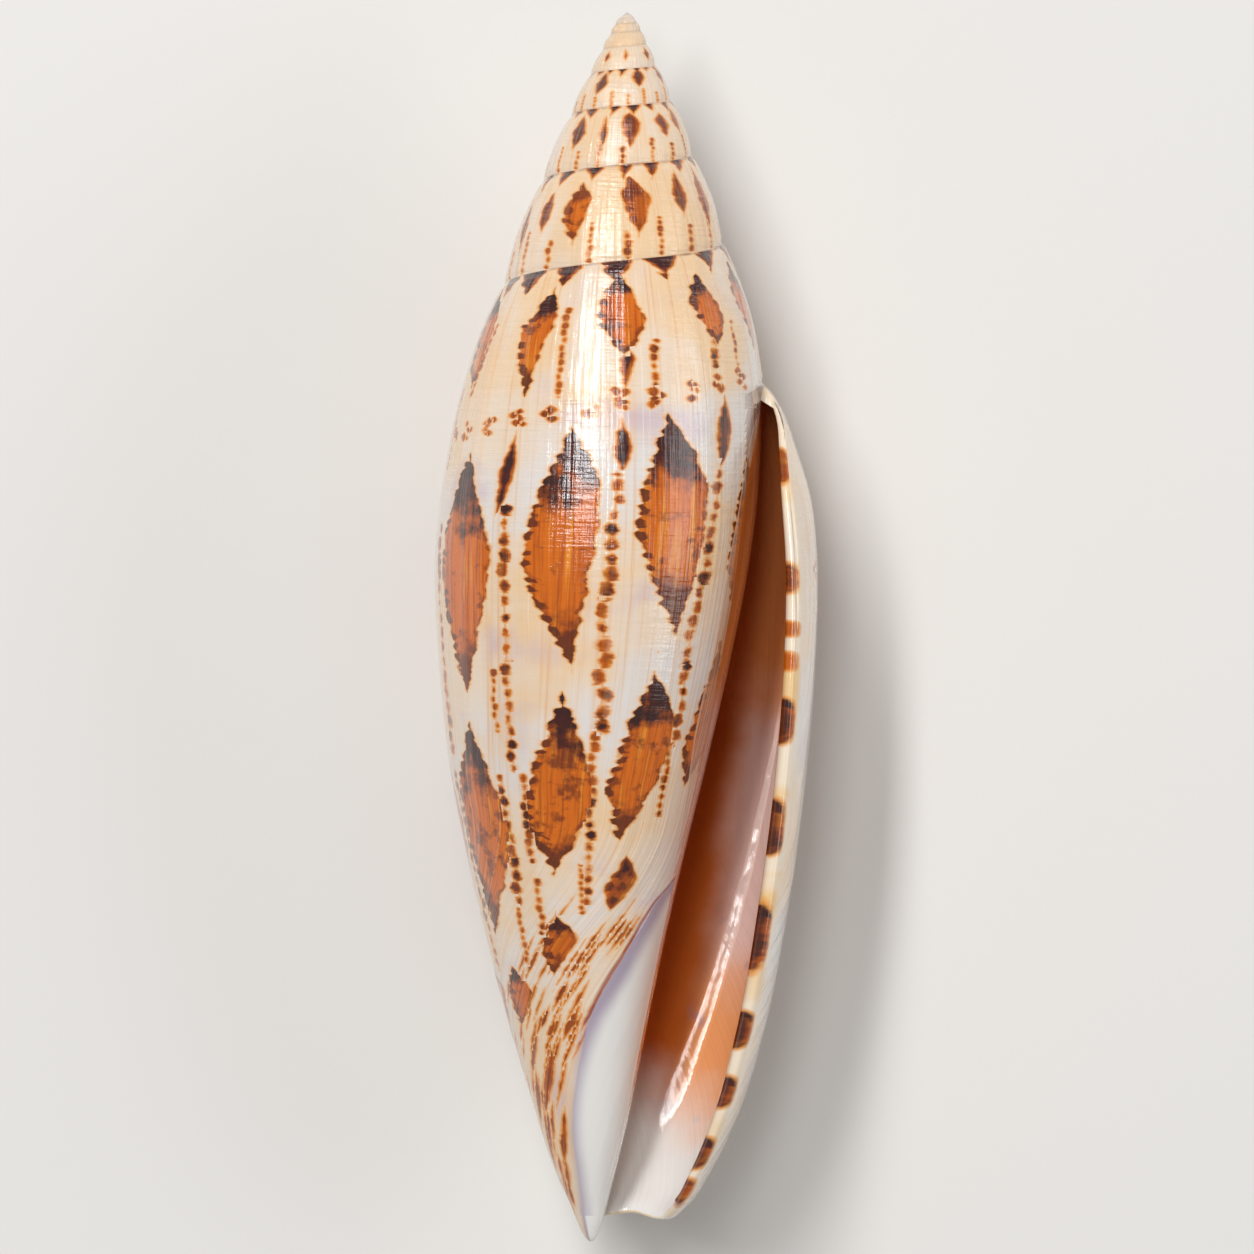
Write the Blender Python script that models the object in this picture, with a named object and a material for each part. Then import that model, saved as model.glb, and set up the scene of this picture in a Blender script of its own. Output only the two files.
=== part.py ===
"""A mitre shell, one grown piece, lying on its back with the aperture up.

The shell is one sheet wound on a spiral. Every place on it has a turn, in degrees about the coiling
axis, and a level, the distance from the apex along that axis. Turn 0 faces +X, 90 faces up, 180 faces
-X and 270 faces the ground. The apex is at +Y, and the turns grow from it to the outer lip, which ends
a little past one whole turn. Sizes are in millimetres until the mesh is made.
"""

import math
from functools import lru_cache

import bmesh
import bpy
import numpy as np

MM = 0.001

# The spiral.
TIP_LEVEL = 80.0
FIRST_TURN = -2490
LIP_TURN = 390
JOIN_TURN = 240
SUTURE_LEVEL = 14.75
SUTURE_OFFSET = 0.25
SUTURE_LEAN = 0.02
TURN_RATIO = 1.605
RADIUS_LEAN = 0.015

# Radius in the groove of the suture: level, radius.
SPIRE = (
    (0.20, 0.42),
    (0.50, 0.60),
    (1.00, 0.84),
    (2.00, 1.31),
    (3.30, 1.90),
    (5.60, 2.95),
    (9.00, 4.38),
    (11.0, 5.18),
    (14.6, 6.48),
    (17.8, 7.55),
    (23.5, 9.30),
    (28.8, 11.2),
    (38.0, 13.4),
)

# Outlines of the last turn, from its suture to the front: level, radius.
APERTURE_SIDE = (
    (14.6, 6.58),
    (16.5, 7.50),
    (19.0, 8.50),
    (21.3, 9.08),
    (23.5, 9.40),
    (27.0, 9.46),
    (31.0, 9.38),
    (36.0, 8.90),
    (42.0, 7.87),
    (48.0, 6.65),
    (54.0, 5.36),
    (60.0, 4.18),
    (66.0, 3.15),
    (72.0, 2.13),
    (78.3, 0.80),
)
LEFT_SIDE = (
    (17.8, 7.31),
    (20.0, 8.42),
    (24.0, 9.82),
    (28.8, 10.85),
    (35.0, 11.50),
    (42.0, 11.14),
    (50.0, 10.02),
    (57.0, 8.34),
    (64.0, 6.38),
    (70.0, 4.42),
    (75.0, 2.68),
    (78.3, 1.12),
)
LIP_SIDE = (
    (23.5, 9.50),
    (25.5, 10.95),
    (28.0, 12.0),
    (31.0, 13.0),
    (34.0, 13.45),
    (37.6, 13.6),
    (42.0, 13.53),
    (50.0, 13.05),
    (58.0, 12.18),
    (66.0, 10.85),
    (72.0, 9.12),
    (75.5, 7.5),
    (77.3, 6.4),
    (78.3, 5.3),
)
OUTLINES = (APERTURE_SIDE, LEFT_SIDE, LIP_SIDE)

# The front edge, which is free from the join to the lip: turn, level.
MARGIN = ((240, 78.3), (270, 78.45), (300, 78.15), (330, 77.95), (352, 78.25), (372, 78.0), (390, 77.0))
RING_LEVEL = 78.3
TIP_RINGS = ((79.1, 0.68), (79.7, 0.38))

# The lip and the hollow behind it.
LIP_FLARE = 0.05
SINUS = 24.0
SINUS_TURNS = 40.0
SINUS_DEPTH = 4.0
WALL = ((0.0, 0.5), (0.08, 0.8), (0.2, 1.05), (0.45, 1.2), (0.75, 1.2), (0.9, 1.0), (1.0, 0.75))
RIM = ((0.22, 0.36), (0.62, 0.34))
CLOSING_TURNS = 60.0

# The step below each suture, against the radius there, and how far it reaches down a whorl.
STEP = 0.016
STEP_RISE = 0.017
STEP_FADE = 0.28

# The mesh: rows down a turn to the next suture, then rows from there to the front.
COLUMN_STEP = 10
UPPER_ROWS = (0.0, 0.04, 0.16, 0.34, 0.56, 0.8, 1.0)
LOWER_COUNT = 20
CORNER_SHARE = 0.016

# How deep the flat spot that it lies on is cut into its back.
FOOT_DEPTH = 0.3

SHELL_COLOUR = (0.72, 0.55, 0.36)
SHELL_ROUGHNESS = 0.25


def clear_scene():
    """Take every object out of the file."""
    for item in list(bpy.data.objects):
        bpy.data.objects.remove(item)


@lru_cache
def curve(table):
    """The places, values and slopes of a table."""
    known, value = np.array(table, float).T
    return known, value, np.gradient(value, known)


def read(table, place):
    """The value of a table at a place, on a smooth curve through its points."""
    known, value, slope = curve(table)
    place = np.clip(place, known[0], known[-1])
    below = np.clip(np.searchsorted(known, place) - 1, 0, len(known) - 2)
    gap = known[below + 1] - known[below]
    part = (place - known[below]) / gap
    left = (1 + 2 * part) * value[below] + part * gap * slope[below]
    right = (3 - 2 * part) * value[below + 1] + (part - 1) * gap * slope[below + 1]
    return (1 - part) ** 2 * left + part ** 2 * right


def suture_level(turn):
    """Level of the suture where the sheet starts at this turn."""
    lean = 1 + SUTURE_LEAN * np.cos(np.radians(turn))
    return SUTURE_LEVEL * TURN_RATIO ** (turn / 360) * lean - SUTURE_OFFSET


def suture_radius(turn):
    """Radius of the suture where the sheet starts at this turn."""
    return read(SPIRE, suture_level(turn)) * (1 + RADIUS_LEAN * np.cos(np.radians(turn)))


def front_level(turn):
    """Level where the sheet ends at this turn."""
    return read(MARGIN, turn)


def between_outlines(turn, share, ahead):
    """Log radius at a share of the way to the front, starting some degrees ahead of the turn."""
    logs = []
    for index, outline in enumerate(OUTLINES):
        station = 180.0 * index
        start = suture_level(station + ahead)
        logs.append(np.log(read(outline, start + share * (front_level(station) - start))))
    half = turn / 180
    first = (half - 1) * (half - 2) / 2 * logs[0]
    middle = half * (half - 2) * logs[1]
    last = half * (half - 1) / 2 * logs[2]
    return first - middle + last


def last_turn_radius(turn, level):
    """Radius of the last turn, from turn 0 to the lip."""
    start = suture_level(turn)
    share = np.clip((level - start) / (front_level(turn) - start), 0, 1)
    flare = LIP_FLARE * np.maximum(turn - 360, 0) / 30
    plain = between_outlines(turn, share, 0)
    found = np.where(turn > 360, np.log(read(LIP_SIDE, level)) + flare, plain)
    top = np.where(turn > 360, np.log(read(LIP_SIDE, start)) + flare, between_outlines(turn, 0 * share, 0))
    return np.exp(found + (np.log(suture_radius(turn)) - top) * (1 - share) ** 6)


def earlier_turn_radius(turn, level):
    """Radius of the spire, each turn shaped like the top of the last one."""
    start = suture_level(turn)
    end = suture_level(turn + 360)
    share = np.clip((level - start) / (end - start), 0, 1)
    chord = suture_radius(turn) * (1 - share) + suture_radius(turn + 360) * share
    like = suture_level(0.0) * (1 - share) + suture_level(360.0) * share
    ends = read(APERTURE_SIDE, suture_level(0.0)) * (1 - share)
    ends = ends + read(APERTURE_SIDE, suture_level(360.0)) * share
    return chord * read(APERTURE_SIDE, like) / ends


def pillar_radius(turn, level):
    """Radius of the pillar that the hollow turns about, inside the shell."""
    start = suture_level(turn + 360)
    share = np.clip((level - start) / (RING_LEVEL - start), 0, 1)
    top = between_outlines(turn, 0 * share, 360)
    fit = (np.log(suture_radius(turn + 360)) - top) * (1 - share) ** 4
    return np.exp(between_outlines(turn, share, 360) + fit)


def sheet_radius(turn, level):
    """Radius of the sheet at a turn and a level."""
    inside = level > suture_level(turn + 360)
    early = np.where(inside, pillar_radius(turn, level), earlier_turn_radius(turn, level))
    radius = np.where(turn >= 0, last_turn_radius(np.maximum(turn, 0), level), early)
    drop = (level - suture_level(turn)) / (suture_level(turn + 360) - suture_level(turn))
    step = STEP * (1 - np.exp(-drop / STEP_RISE)) * np.exp(-drop / STEP_FADE)
    return radius * (1 + step)


def row_level(turn, row):
    """Level of a row: down to the next suture first, then on to the front."""
    next_suture = suture_level(turn + 360)
    count = len(UPPER_ROWS) - 1
    if row <= count:
        return suture_level(turn) + (next_suture - suture_level(turn)) * UPPER_ROWS[row]
    share = CORNER_SHARE + (1 - CORNER_SHARE) * (row - count - 1) / (LOWER_COUNT - 1)
    return next_suture + (front_level(turn) - next_suture) * share


def slid_turn(turn, row):
    """The turn moved back near the place where the lip meets the suture."""
    level = row_level(turn, row)
    before = (turn - LIP_TURN) / SINUS_TURNS
    below = (level - suture_level(turn)) / SINUS_DEPTH
    beside = (turn + 360 - LIP_TURN) / SINUS_TURNS
    above = (level - suture_level(turn + 360)) / SINUS_DEPTH
    amount = math.exp(-before ** 2 - below ** 2) + math.exp(-beside ** 2 - above ** 2)
    return turn - SINUS * amount


def place(turn, level, radius):
    """The point at a turn, a level and a radius: +Y to the apex, the coiling axis at x and z 0."""
    angle = math.radians(turn)
    return np.array((radius * math.cos(angle), -level, radius * math.sin(angle)))


def sheet_point(turn, row):
    """A point on the outer sheet, or on the pillar where the turn is inside the shell."""
    slid = slid_turn(turn, row)
    level = row_level(slid, row)
    return place(slid, level, float(sheet_radius(slid, level)))


def wall_inset(turn, level, share):
    """How far the inner face of the wall is from the outer one, along the radius."""
    rise = sheet_radius(turn, level + 0.2) - sheet_radius(turn, level - 0.2)
    return read(WALL, share) * math.hypot(1, rise / 0.4)


def inner_point(turn, row):
    """A point on the inner face of the wall, over the hollow."""
    slid = slid_turn(turn - 360, row)
    level = row_level(slid, row)
    share = (row - len(UPPER_ROWS)) / (LOWER_COUNT - 1)
    pillar = float(sheet_radius(slid, level))
    level = level + (front_level(slid + 360) - RING_LEVEL) * share ** 4
    room = float(sheet_radius(slid + 360, level)) - pillar
    wall = 1 / (1 / wall_inset(slid + 360, level, share) + 1 / (0.9 * room))
    near_end = min((turn - JOIN_TURN) / CLOSING_TURNS, 1)
    opening = math.sqrt(1 - (1 - near_end) ** 2)
    return place(slid + 360, level, pillar + (room - wall) * opening)


class Shell:
    """Points with names, and the faces between them."""

    def __init__(self):
        """Start with no point and no face."""
        self.names = {}
        self.points = []
        self.faces = []

    def put(self, name, point):
        """The number of a named point, which is added if it is new."""
        if name not in self.names:
            self.names[name] = len(self.points)
            self.points.append(point)
        return self.names[name]

    def sheet(self, turn, row):
        """The number of a sheet point, the same one for both turns that meet at a suture."""
        if row == len(UPPER_ROWS) - 1 and turn <= LIP_TURN - 360:
            turn, row = turn + 360, 0
        return self.put(("sheet", turn, row), sheet_point(turn, row))

    def inner(self, turn, row):
        """The number of a point on the wall's inner face, shared with the pillar where they meet."""
        if turn == JOIN_TURN or row == len(UPPER_ROWS):
            return self.sheet(turn - 360, row)
        return self.put(("inner", turn, row), inner_point(turn, row))

    def skin(self, first, second):
        """Quads between two lines of as many points."""
        for at in range(len(first) - 1):
            corners = (first[at], first[at + 1], second[at + 1], second[at])
            self.faces.append(tuple(dict.fromkeys(corners)))

    def zip(self, first, second):
        """Triangles between two lines that differ in their count of points."""
        one, two = 0, 0
        while one < len(first) - 1 or two < len(second) - 1:
            ahead = (one + 1) * (len(second) - 1) <= (two + 1) * (len(first) - 1)
            if two == len(second) - 1 or (ahead and one < len(first) - 1):
                self.faces.append((first[one], first[one + 1], second[two]))
                one += 1
            else:
                self.faces.append((first[one], second[two + 1], second[two]))
                two += 1


def add_whorls(shell):
    """The outer sheet from the apex to the lip."""
    upper = len(UPPER_ROWS) - 1
    whole = upper + LOWER_COUNT
    for turn in range(FIRST_TURN, LIP_TURN, COLUMN_STEP):
        last = whole if turn >= LIP_TURN - 360 else upper
        here = [shell.sheet(turn, row) for row in range(last + 1)]
        ahead = [shell.sheet(turn + COLUMN_STEP, row) for row in range(last + 1)]
        shell.skin(here, ahead)


def add_apex(shell):
    """A small dome over the first turn."""
    pole = shell.put("apex", place(0, 0, 0))
    turns = range(FIRST_TURN, FIRST_TURN + 361, COLUMN_STEP)
    loop = [shell.sheet(turn, 0) for turn in turns]
    loop += [shell.sheet(FIRST_TURN, row) for row in range(len(UPPER_ROWS) - 2, 0, -1)]
    for at, here in enumerate(loop):
        shell.faces.append((here, loop[(at + 1) % len(loop)], pole))


def add_hollow(shell):
    """The wall's inner face and the pillar, which meet at the corner and at the deep end."""
    rows = range(len(UPPER_ROWS), len(UPPER_ROWS) + LOWER_COUNT)
    for turn in range(JOIN_TURN, LIP_TURN, COLUMN_STEP):
        for line in (shell.inner, lambda at, row: shell.sheet(at - 360, row)):
            here = [line(turn, row) for row in rows]
            ahead = [line(turn + COLUMN_STEP, row) for row in rows]
            shell.skin(here, ahead)


def rim_line(shell, across, swell):
    """A line of rim points from the corner of the aperture round the front to the join."""
    top = len(UPPER_ROWS)
    end = top + LOWER_COUNT - 1
    line = [shell.sheet(LIP_TURN - 360, top)]
    stops = [(LIP_TURN, row) for row in range(top + 1, end + 1)]
    stops += [(turn, end) for turn in range(LIP_TURN - COLUMN_STEP, JOIN_TURN, -COLUMN_STEP)]
    for turn, row in stops:
        inner = inner_point(turn, row)
        slid = slid_turn(turn - 360, row) + 360
        outer = place(slid, -inner[1], float(sheet_radius(slid, -inner[1])))
        back = turn - COLUMN_STEP * (turn == LIP_TURN)
        out = outer - sheet_point(back, end - 1) if row == end else outer - sheet_like(back, -inner[1])
        out = out / np.linalg.norm(out) * np.linalg.norm(outer - inner) * swell
        line.append(shell.put(("rim", across, turn, row), outer * (1 - across) + inner * across + out))
    return line + [shell.inner(JOIN_TURN, end)]


def sheet_like(turn, level):
    """A point on the outer sheet at a turn and a level."""
    return place(turn, level, float(sheet_radius(turn, level)))


def add_rim(shell):
    """The rounded edge of the lip and of the free front."""
    top = len(UPPER_ROWS)
    end = top + LOWER_COUNT - 1
    back = range(LIP_TURN - COLUMN_STEP, JOIN_TURN, -COLUMN_STEP)
    outer_lip = [shell.sheet(LIP_TURN, row) for row in range(end + 1)]
    outer_front = [shell.sheet(turn, end) for turn in (LIP_TURN, *back, JOIN_TURN)]
    lines = [rim_line(shell, across, swell) for across, swell in RIM]
    inner = [shell.inner(LIP_TURN, row) for row in range(top, end + 1)]
    inner += [shell.inner(turn, end) for turn in (*back, JOIN_TURN)]
    shell.zip(outer_lip, lines[0][:LOWER_COUNT])
    shell.skin(outer_front, lines[0][LOWER_COUNT - 1:])
    for first, second in zip(lines, lines[1:] + [inner]):
        shell.skin(first, second)


def add_tip(shell):
    """The closed front end of the pillar."""
    end = len(UPPER_ROWS) + LOWER_COUNT - 1
    start = LIP_TURN - 360
    ring = [shell.sheet(turn, end) for turn in range(start, JOIN_TURN + 1, COLUMN_STEP)]
    ring += [shell.sheet(turn, end) for turn in range(JOIN_TURN - 360, start, COLUMN_STEP)]
    lines = [ring]
    for level, share in TIP_RINGS:
        line = []
        for number in ring:
            point = shell.points[number] * (share, 0, share) - (0, level, 0)
            line.append(shell.put(("tip", level, number), point))
        lines.append(line)
    for first, second in zip(lines, lines[1:]):
        shell.skin(first + first[:1], second + second[:1])
    pole = shell.put("tip", place(0, TIP_LEVEL, 0))
    for at, here in enumerate(lines[-1]):
        shell.faces.append((here, lines[-1][(at + 1) % len(ring)], pole))


def lay_down(points):
    """Put the middle of the shell's box over the origin and its flat spot at height 0."""
    low, high = points.min(0), points.max(0)
    return points - ((low[0] + high[0]) / 2, (low[1] + high[1]) / 2, low[2] + FOOT_DEPTH)


def cut_foot(body):
    """Cut the flat spot at height 0 and close it with one face."""
    whole = [*body.verts, *body.edges, *body.faces]
    cut = bmesh.ops.bisect_plane(body, geom=whole, dist=1e-6, plane_co=(0, 0, 0), plane_no=(0, 0, 1),
                                 clear_inner=True)
    loop = [item for item in cut["geom_cut"] if isinstance(item, bmesh.types.BMEdge)]
    for edge in loop:
        for corner in edge.verts:
            corner.co.z = 0
    bmesh.ops.holes_fill(body, edges=loop)


def shell_material():
    """Glossy cream and burnt orange, averaged."""
    material = bpy.data.materials.new("shell")
    material.use_nodes = True
    node = material.node_tree.nodes["Principled BSDF"]
    node.inputs["Base Color"].default_value = (*SHELL_COLOUR, 1)
    node.inputs["Roughness"].default_value = SHELL_ROUGHNESS
    node.inputs["Metallic"].default_value = 0.0
    return material


def build_shell():
    """Make the shell's object from its named points and faces."""
    shell = Shell()
    add_whorls(shell)
    add_apex(shell)
    add_hollow(shell)
    add_rim(shell)
    add_tip(shell)
    mesh = bpy.data.meshes.new("shell")
    mesh.from_pydata((lay_down(np.array(shell.points)) * MM).tolist(), [], shell.faces)
    body = bmesh.new()
    body.from_mesh(mesh)
    cut_foot(body)
    bmesh.ops.triangulate(body, faces=body.faces)
    bmesh.ops.recalc_face_normals(body, faces=body.faces)
    for face in body.faces:
        face.smooth = True
    body.to_mesh(mesh)
    body.free()
    mesh.materials.append(shell_material())
    bpy.context.scene.collection.objects.link(bpy.data.objects.new("shell", mesh))


clear_scene()
build_shell()
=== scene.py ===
"""A mitre shell on a pale floor, wound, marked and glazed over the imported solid.

The shell is one sheet on a spiral. A place on it has a turn, in degrees about the coiling axis, and a
level, the distance from the apex along that axis. Sizes in the classes are in millimetres.
"""

import logging
import math
from dataclasses import dataclass, field
from enum import Enum
from functools import lru_cache

import bmesh
import bpy
import numpy as np
from mathutils import Euler, Matrix, Vector

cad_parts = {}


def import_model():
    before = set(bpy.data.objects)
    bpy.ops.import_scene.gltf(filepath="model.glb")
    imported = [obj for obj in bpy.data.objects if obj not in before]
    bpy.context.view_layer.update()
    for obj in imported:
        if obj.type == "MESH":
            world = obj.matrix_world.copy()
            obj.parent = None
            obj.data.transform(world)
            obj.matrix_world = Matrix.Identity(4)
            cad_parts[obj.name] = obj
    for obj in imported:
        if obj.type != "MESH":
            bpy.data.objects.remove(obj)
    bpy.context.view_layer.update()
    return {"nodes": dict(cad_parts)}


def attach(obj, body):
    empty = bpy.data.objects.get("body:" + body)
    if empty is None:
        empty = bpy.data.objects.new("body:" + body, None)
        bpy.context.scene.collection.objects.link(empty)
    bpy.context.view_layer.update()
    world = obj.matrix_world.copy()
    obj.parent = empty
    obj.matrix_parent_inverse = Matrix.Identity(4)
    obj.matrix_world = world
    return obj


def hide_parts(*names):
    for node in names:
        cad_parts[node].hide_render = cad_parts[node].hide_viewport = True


LOG = logging.getLogger("mitre_shell")
MM = 0.001
Table = tuple[tuple[float, float], ...]
Colour = tuple[float, float, float, float]
Grid = tuple[np.ndarray, np.ndarray, np.ndarray]


class Skin(Enum):
    """The surfaces that the shell is made of."""

    OUTSIDE = 0
    PILLAR = 1
    HOLLOW = 2
    RIM = 3
    TIP = 4


class Shape(Enum):
    """The kinds of marking, each with the power that its outline curves by."""

    WEDGE = 1.05
    DIAMOND = 1.4
    DOT = 2.0
    LIP = 3.0
    CHAIN = 5.0


@lru_cache
def curve(table: Table) -> tuple[np.ndarray, np.ndarray, np.ndarray]:
    """The places, values and slopes of a table.

    Args:
        table: Rows of place and value, the places rising.

    Returns:
        The three, each as an array.
    """
    known, value = np.array(table, float).T
    return known, value, np.gradient(value, known)


def read(table: Table, place: np.ndarray) -> np.ndarray:
    """Read a table on a smooth curve through its points.

    Args:
        table: Rows of place and value, the places rising.
        place: Where to read it.

    Returns:
        The values there, held at the table's ends.
    """
    known, value, slope = curve(table)
    place = np.clip(place, known[0], known[-1])
    below = np.clip(np.searchsorted(known, place) - 1, 0, len(known) - 2)
    gap = known[below + 1] - known[below]
    part = (place - known[below]) / gap
    left = (1 + 2 * part) * value[below] + part * gap * slope[below]
    right = (3 - 2 * part) * value[below + 1] + (part - 1) * gap * slope[below + 1]
    return (1 - part) ** 2 * left + part**2 * right


@dataclass(frozen=True)
class Spiral:
    """The rule that the shell's sheet is wound by, the same as the solid's."""

    lip_turn: int = 390
    join_turn: int = 240
    first_turn: int = -2490
    tip_level: float = 80.0
    ring_level: float = 78.3
    suture_level_at_0: float = 14.75
    suture_offset: float = 0.25
    suture_lean: float = 0.02
    turn_ratio: float = 1.605
    radius_lean: float = 0.015
    lip_flare: float = 0.05
    sinus: float = 24.0
    sinus_turns: float = 40.0
    sinus_depth: float = 4.0
    closing_turns: float = 60.0
    step: float = 0.016
    step_rise: float = 0.017
    step_fade: float = 0.28
    spire: Table = (
        (0.20, 0.42), (0.50, 0.60), (1.00, 0.84), (2.00, 1.31), (3.30, 1.90), (5.60, 2.95), (9.00, 4.38),
        (11.0, 5.18), (14.6, 6.48), (17.8, 7.55), (23.5, 9.30), (28.8, 11.2), (38.0, 13.4),
    )
    aperture_side: Table = (
        (14.6, 6.58), (16.5, 7.50), (19.0, 8.50), (21.3, 9.08), (23.5, 9.40), (27.0, 9.46), (31.0, 9.38),
        (36.0, 8.90), (42.0, 7.87), (48.0, 6.65), (54.0, 5.36), (60.0, 4.18), (66.0, 3.15), (72.0, 2.13),
        (78.3, 0.80),
    )
    left_side: Table = (
        (17.8, 7.31), (20.0, 8.42), (24.0, 9.82), (28.8, 10.85), (35.0, 11.50), (42.0, 11.14), (50.0, 10.02),
        (57.0, 8.34), (64.0, 6.38), (70.0, 4.42), (75.0, 2.68), (78.3, 1.12),
    )
    lip_side: Table = (
        (23.5, 9.50), (25.5, 10.95), (28.0, 12.0), (31.0, 13.0), (34.0, 13.45), (37.6, 13.6), (42.0, 13.53),
        (50.0, 13.05), (58.0, 12.18), (66.0, 10.85), (72.0, 9.12), (75.5, 7.5), (77.3, 6.4), (78.3, 5.3),
    )
    margin: Table = (
        (240, 78.3), (270, 78.45), (300, 78.15), (330, 77.95), (352, 78.25), (372, 78.0), (390, 77.0),
    )
    wall: Table = ((0.0, 0.5), (0.08, 0.8), (0.2, 1.05), (0.45, 1.2), (0.75, 1.2), (0.9, 1.0), (1.0, 0.75))
    growth_lean: Table = (
        (0.0, 0.0), (50.0, 0.0), (54.0, 4.0), (57.0, 18.0), (60.0, 40.0), (65.0, 75.0), (70.0, 108.0),
        (75.0, 135.0), (80.0, 165.0),
    )

    def along(self, turn: np.ndarray) -> np.ndarray:
        """Length along the suture from the apex in mm."""
        return 15 * self.suture_radius(turn)

    def suture_level(self, turn: np.ndarray) -> np.ndarray:
        """Level of the suture where the sheet starts."""
        lean = 1 + self.suture_lean * np.cos(np.radians(turn))
        return self.suture_level_at_0 * self.turn_ratio ** (turn / 360) * lean - self.suture_offset

    def suture_radius(self, turn: np.ndarray) -> np.ndarray:
        """Radius of the suture where the sheet starts."""
        return read(self.spire, self.suture_level(turn)) * (1 + self.radius_lean * np.cos(np.radians(turn)))

    def front_level(self, turn: np.ndarray) -> np.ndarray:
        """Level where the sheet ends."""
        return read(self.margin, turn)

    def between(self, turn: np.ndarray, share: np.ndarray, ahead: float) -> np.ndarray:
        """Blend the three outlines of the last turn.

        Args:
            turn: The turn.
            share: How far the place is from the outlines' start to the front.
            ahead: Degrees from the turn to where the outlines start.

        Returns:
            The logarithm of the radius.
        """
        logs = []
        for index, outline in enumerate((self.aperture_side, self.left_side, self.lip_side)):
            station = 180.0 * index
            start = self.suture_level(station + ahead)
            logs.append(np.log(read(outline, start + share * (self.front_level(station) - start))))
        half = turn / 180
        first = (half - 1) * (half - 2) / 2 * logs[0]
        return first - half * (half - 2) * logs[1] + half * (half - 1) / 2 * logs[2]

    def last_turn(self, turn: np.ndarray, level: np.ndarray) -> np.ndarray:
        """Radius of the last turn.

        Args:
            turn: The turn, from 0 to the lip.
            level: The level.

        Returns:
            The radius.
        """
        start = self.suture_level(turn)
        share = np.clip((level - start) / (self.front_level(turn) - start), 0, 1)
        flare = self.lip_flare * np.maximum(turn - 360, 0) / 30
        past = turn > 360
        found = np.where(past, np.log(read(self.lip_side, level)) + flare, self.between(turn, share, 0))
        top = np.where(past, np.log(read(self.lip_side, start)) + flare, self.between(turn, 0 * share, 0))
        return np.exp(found + (np.log(self.suture_radius(turn)) - top) * (1 - share) ** 6)

    def earlier_turn(self, turn: np.ndarray, level: np.ndarray) -> np.ndarray:
        """Radius of the spire, each turn shaped like the top of the last one.

        Args:
            turn: The turn, before 0.
            level: The level.

        Returns:
            The radius.
        """
        start, end = self.suture_level(turn), self.suture_level(turn + 360)
        share = np.clip((level - start) / (end - start), 0, 1)
        chord = self.suture_radius(turn) * (1 - share) + self.suture_radius(turn + 360) * share
        first, last = self.suture_level(0.0), self.suture_level(360.0)
        ends = read(self.aperture_side, first) * (1 - share) + read(self.aperture_side, last) * share
        return chord * read(self.aperture_side, first * (1 - share) + last * share) / ends

    def pillar(self, turn: np.ndarray, level: np.ndarray) -> np.ndarray:
        """Radius of the pillar that the hollow turns about.

        Args:
            turn: The turn, before 0.
            level: The level.

        Returns:
            The radius.
        """
        start = self.suture_level(turn + 360)
        share = np.clip((level - start) / (self.ring_level - start), 0, 1)
        fit = np.log(self.suture_radius(turn + 360)) - self.between(turn, 0 * share, 360)
        return np.exp(self.between(turn, share, 360) + fit * (1 - share) ** 4)

    def radius(self, turn: np.ndarray, level: np.ndarray) -> np.ndarray:
        """Radius of the sheet.

        Args:
            turn: The turn.
            level: The level.

        Returns:
            The radius, with the small step below each suture.
        """
        turn, level = np.broadcast_arrays(np.asarray(turn, float), np.asarray(level, float))
        inside = level > self.suture_level(turn + 360)
        early = np.where(inside, self.pillar(turn, level), self.earlier_turn(turn, level))
        radius = np.where(turn >= 0, self.last_turn(np.maximum(turn, 0), level), early)
        drop = (level - self.suture_level(turn)) / (self.suture_level(turn + 360) - self.suture_level(turn))
        rise = 1 - np.exp(-np.maximum(drop, 0) / self.step_rise)
        return radius * (1 + self.step * rise * np.exp(-drop / self.step_fade))


@dataclass
class Patch:
    """One grid of the shell's surface."""

    skin: Skin
    numbers: np.ndarray
    turn: np.ndarray
    level: np.ndarray
    over: np.ndarray | None = None


@dataclass
class Fan:
    """One loose triangle, with what its corners know of their place."""

    skin: Skin
    corners: list[int]
    turn: list[float]
    level: list[float]
    over: tuple[float, ...] = (0.0, 0.0, 0.0)


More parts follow.
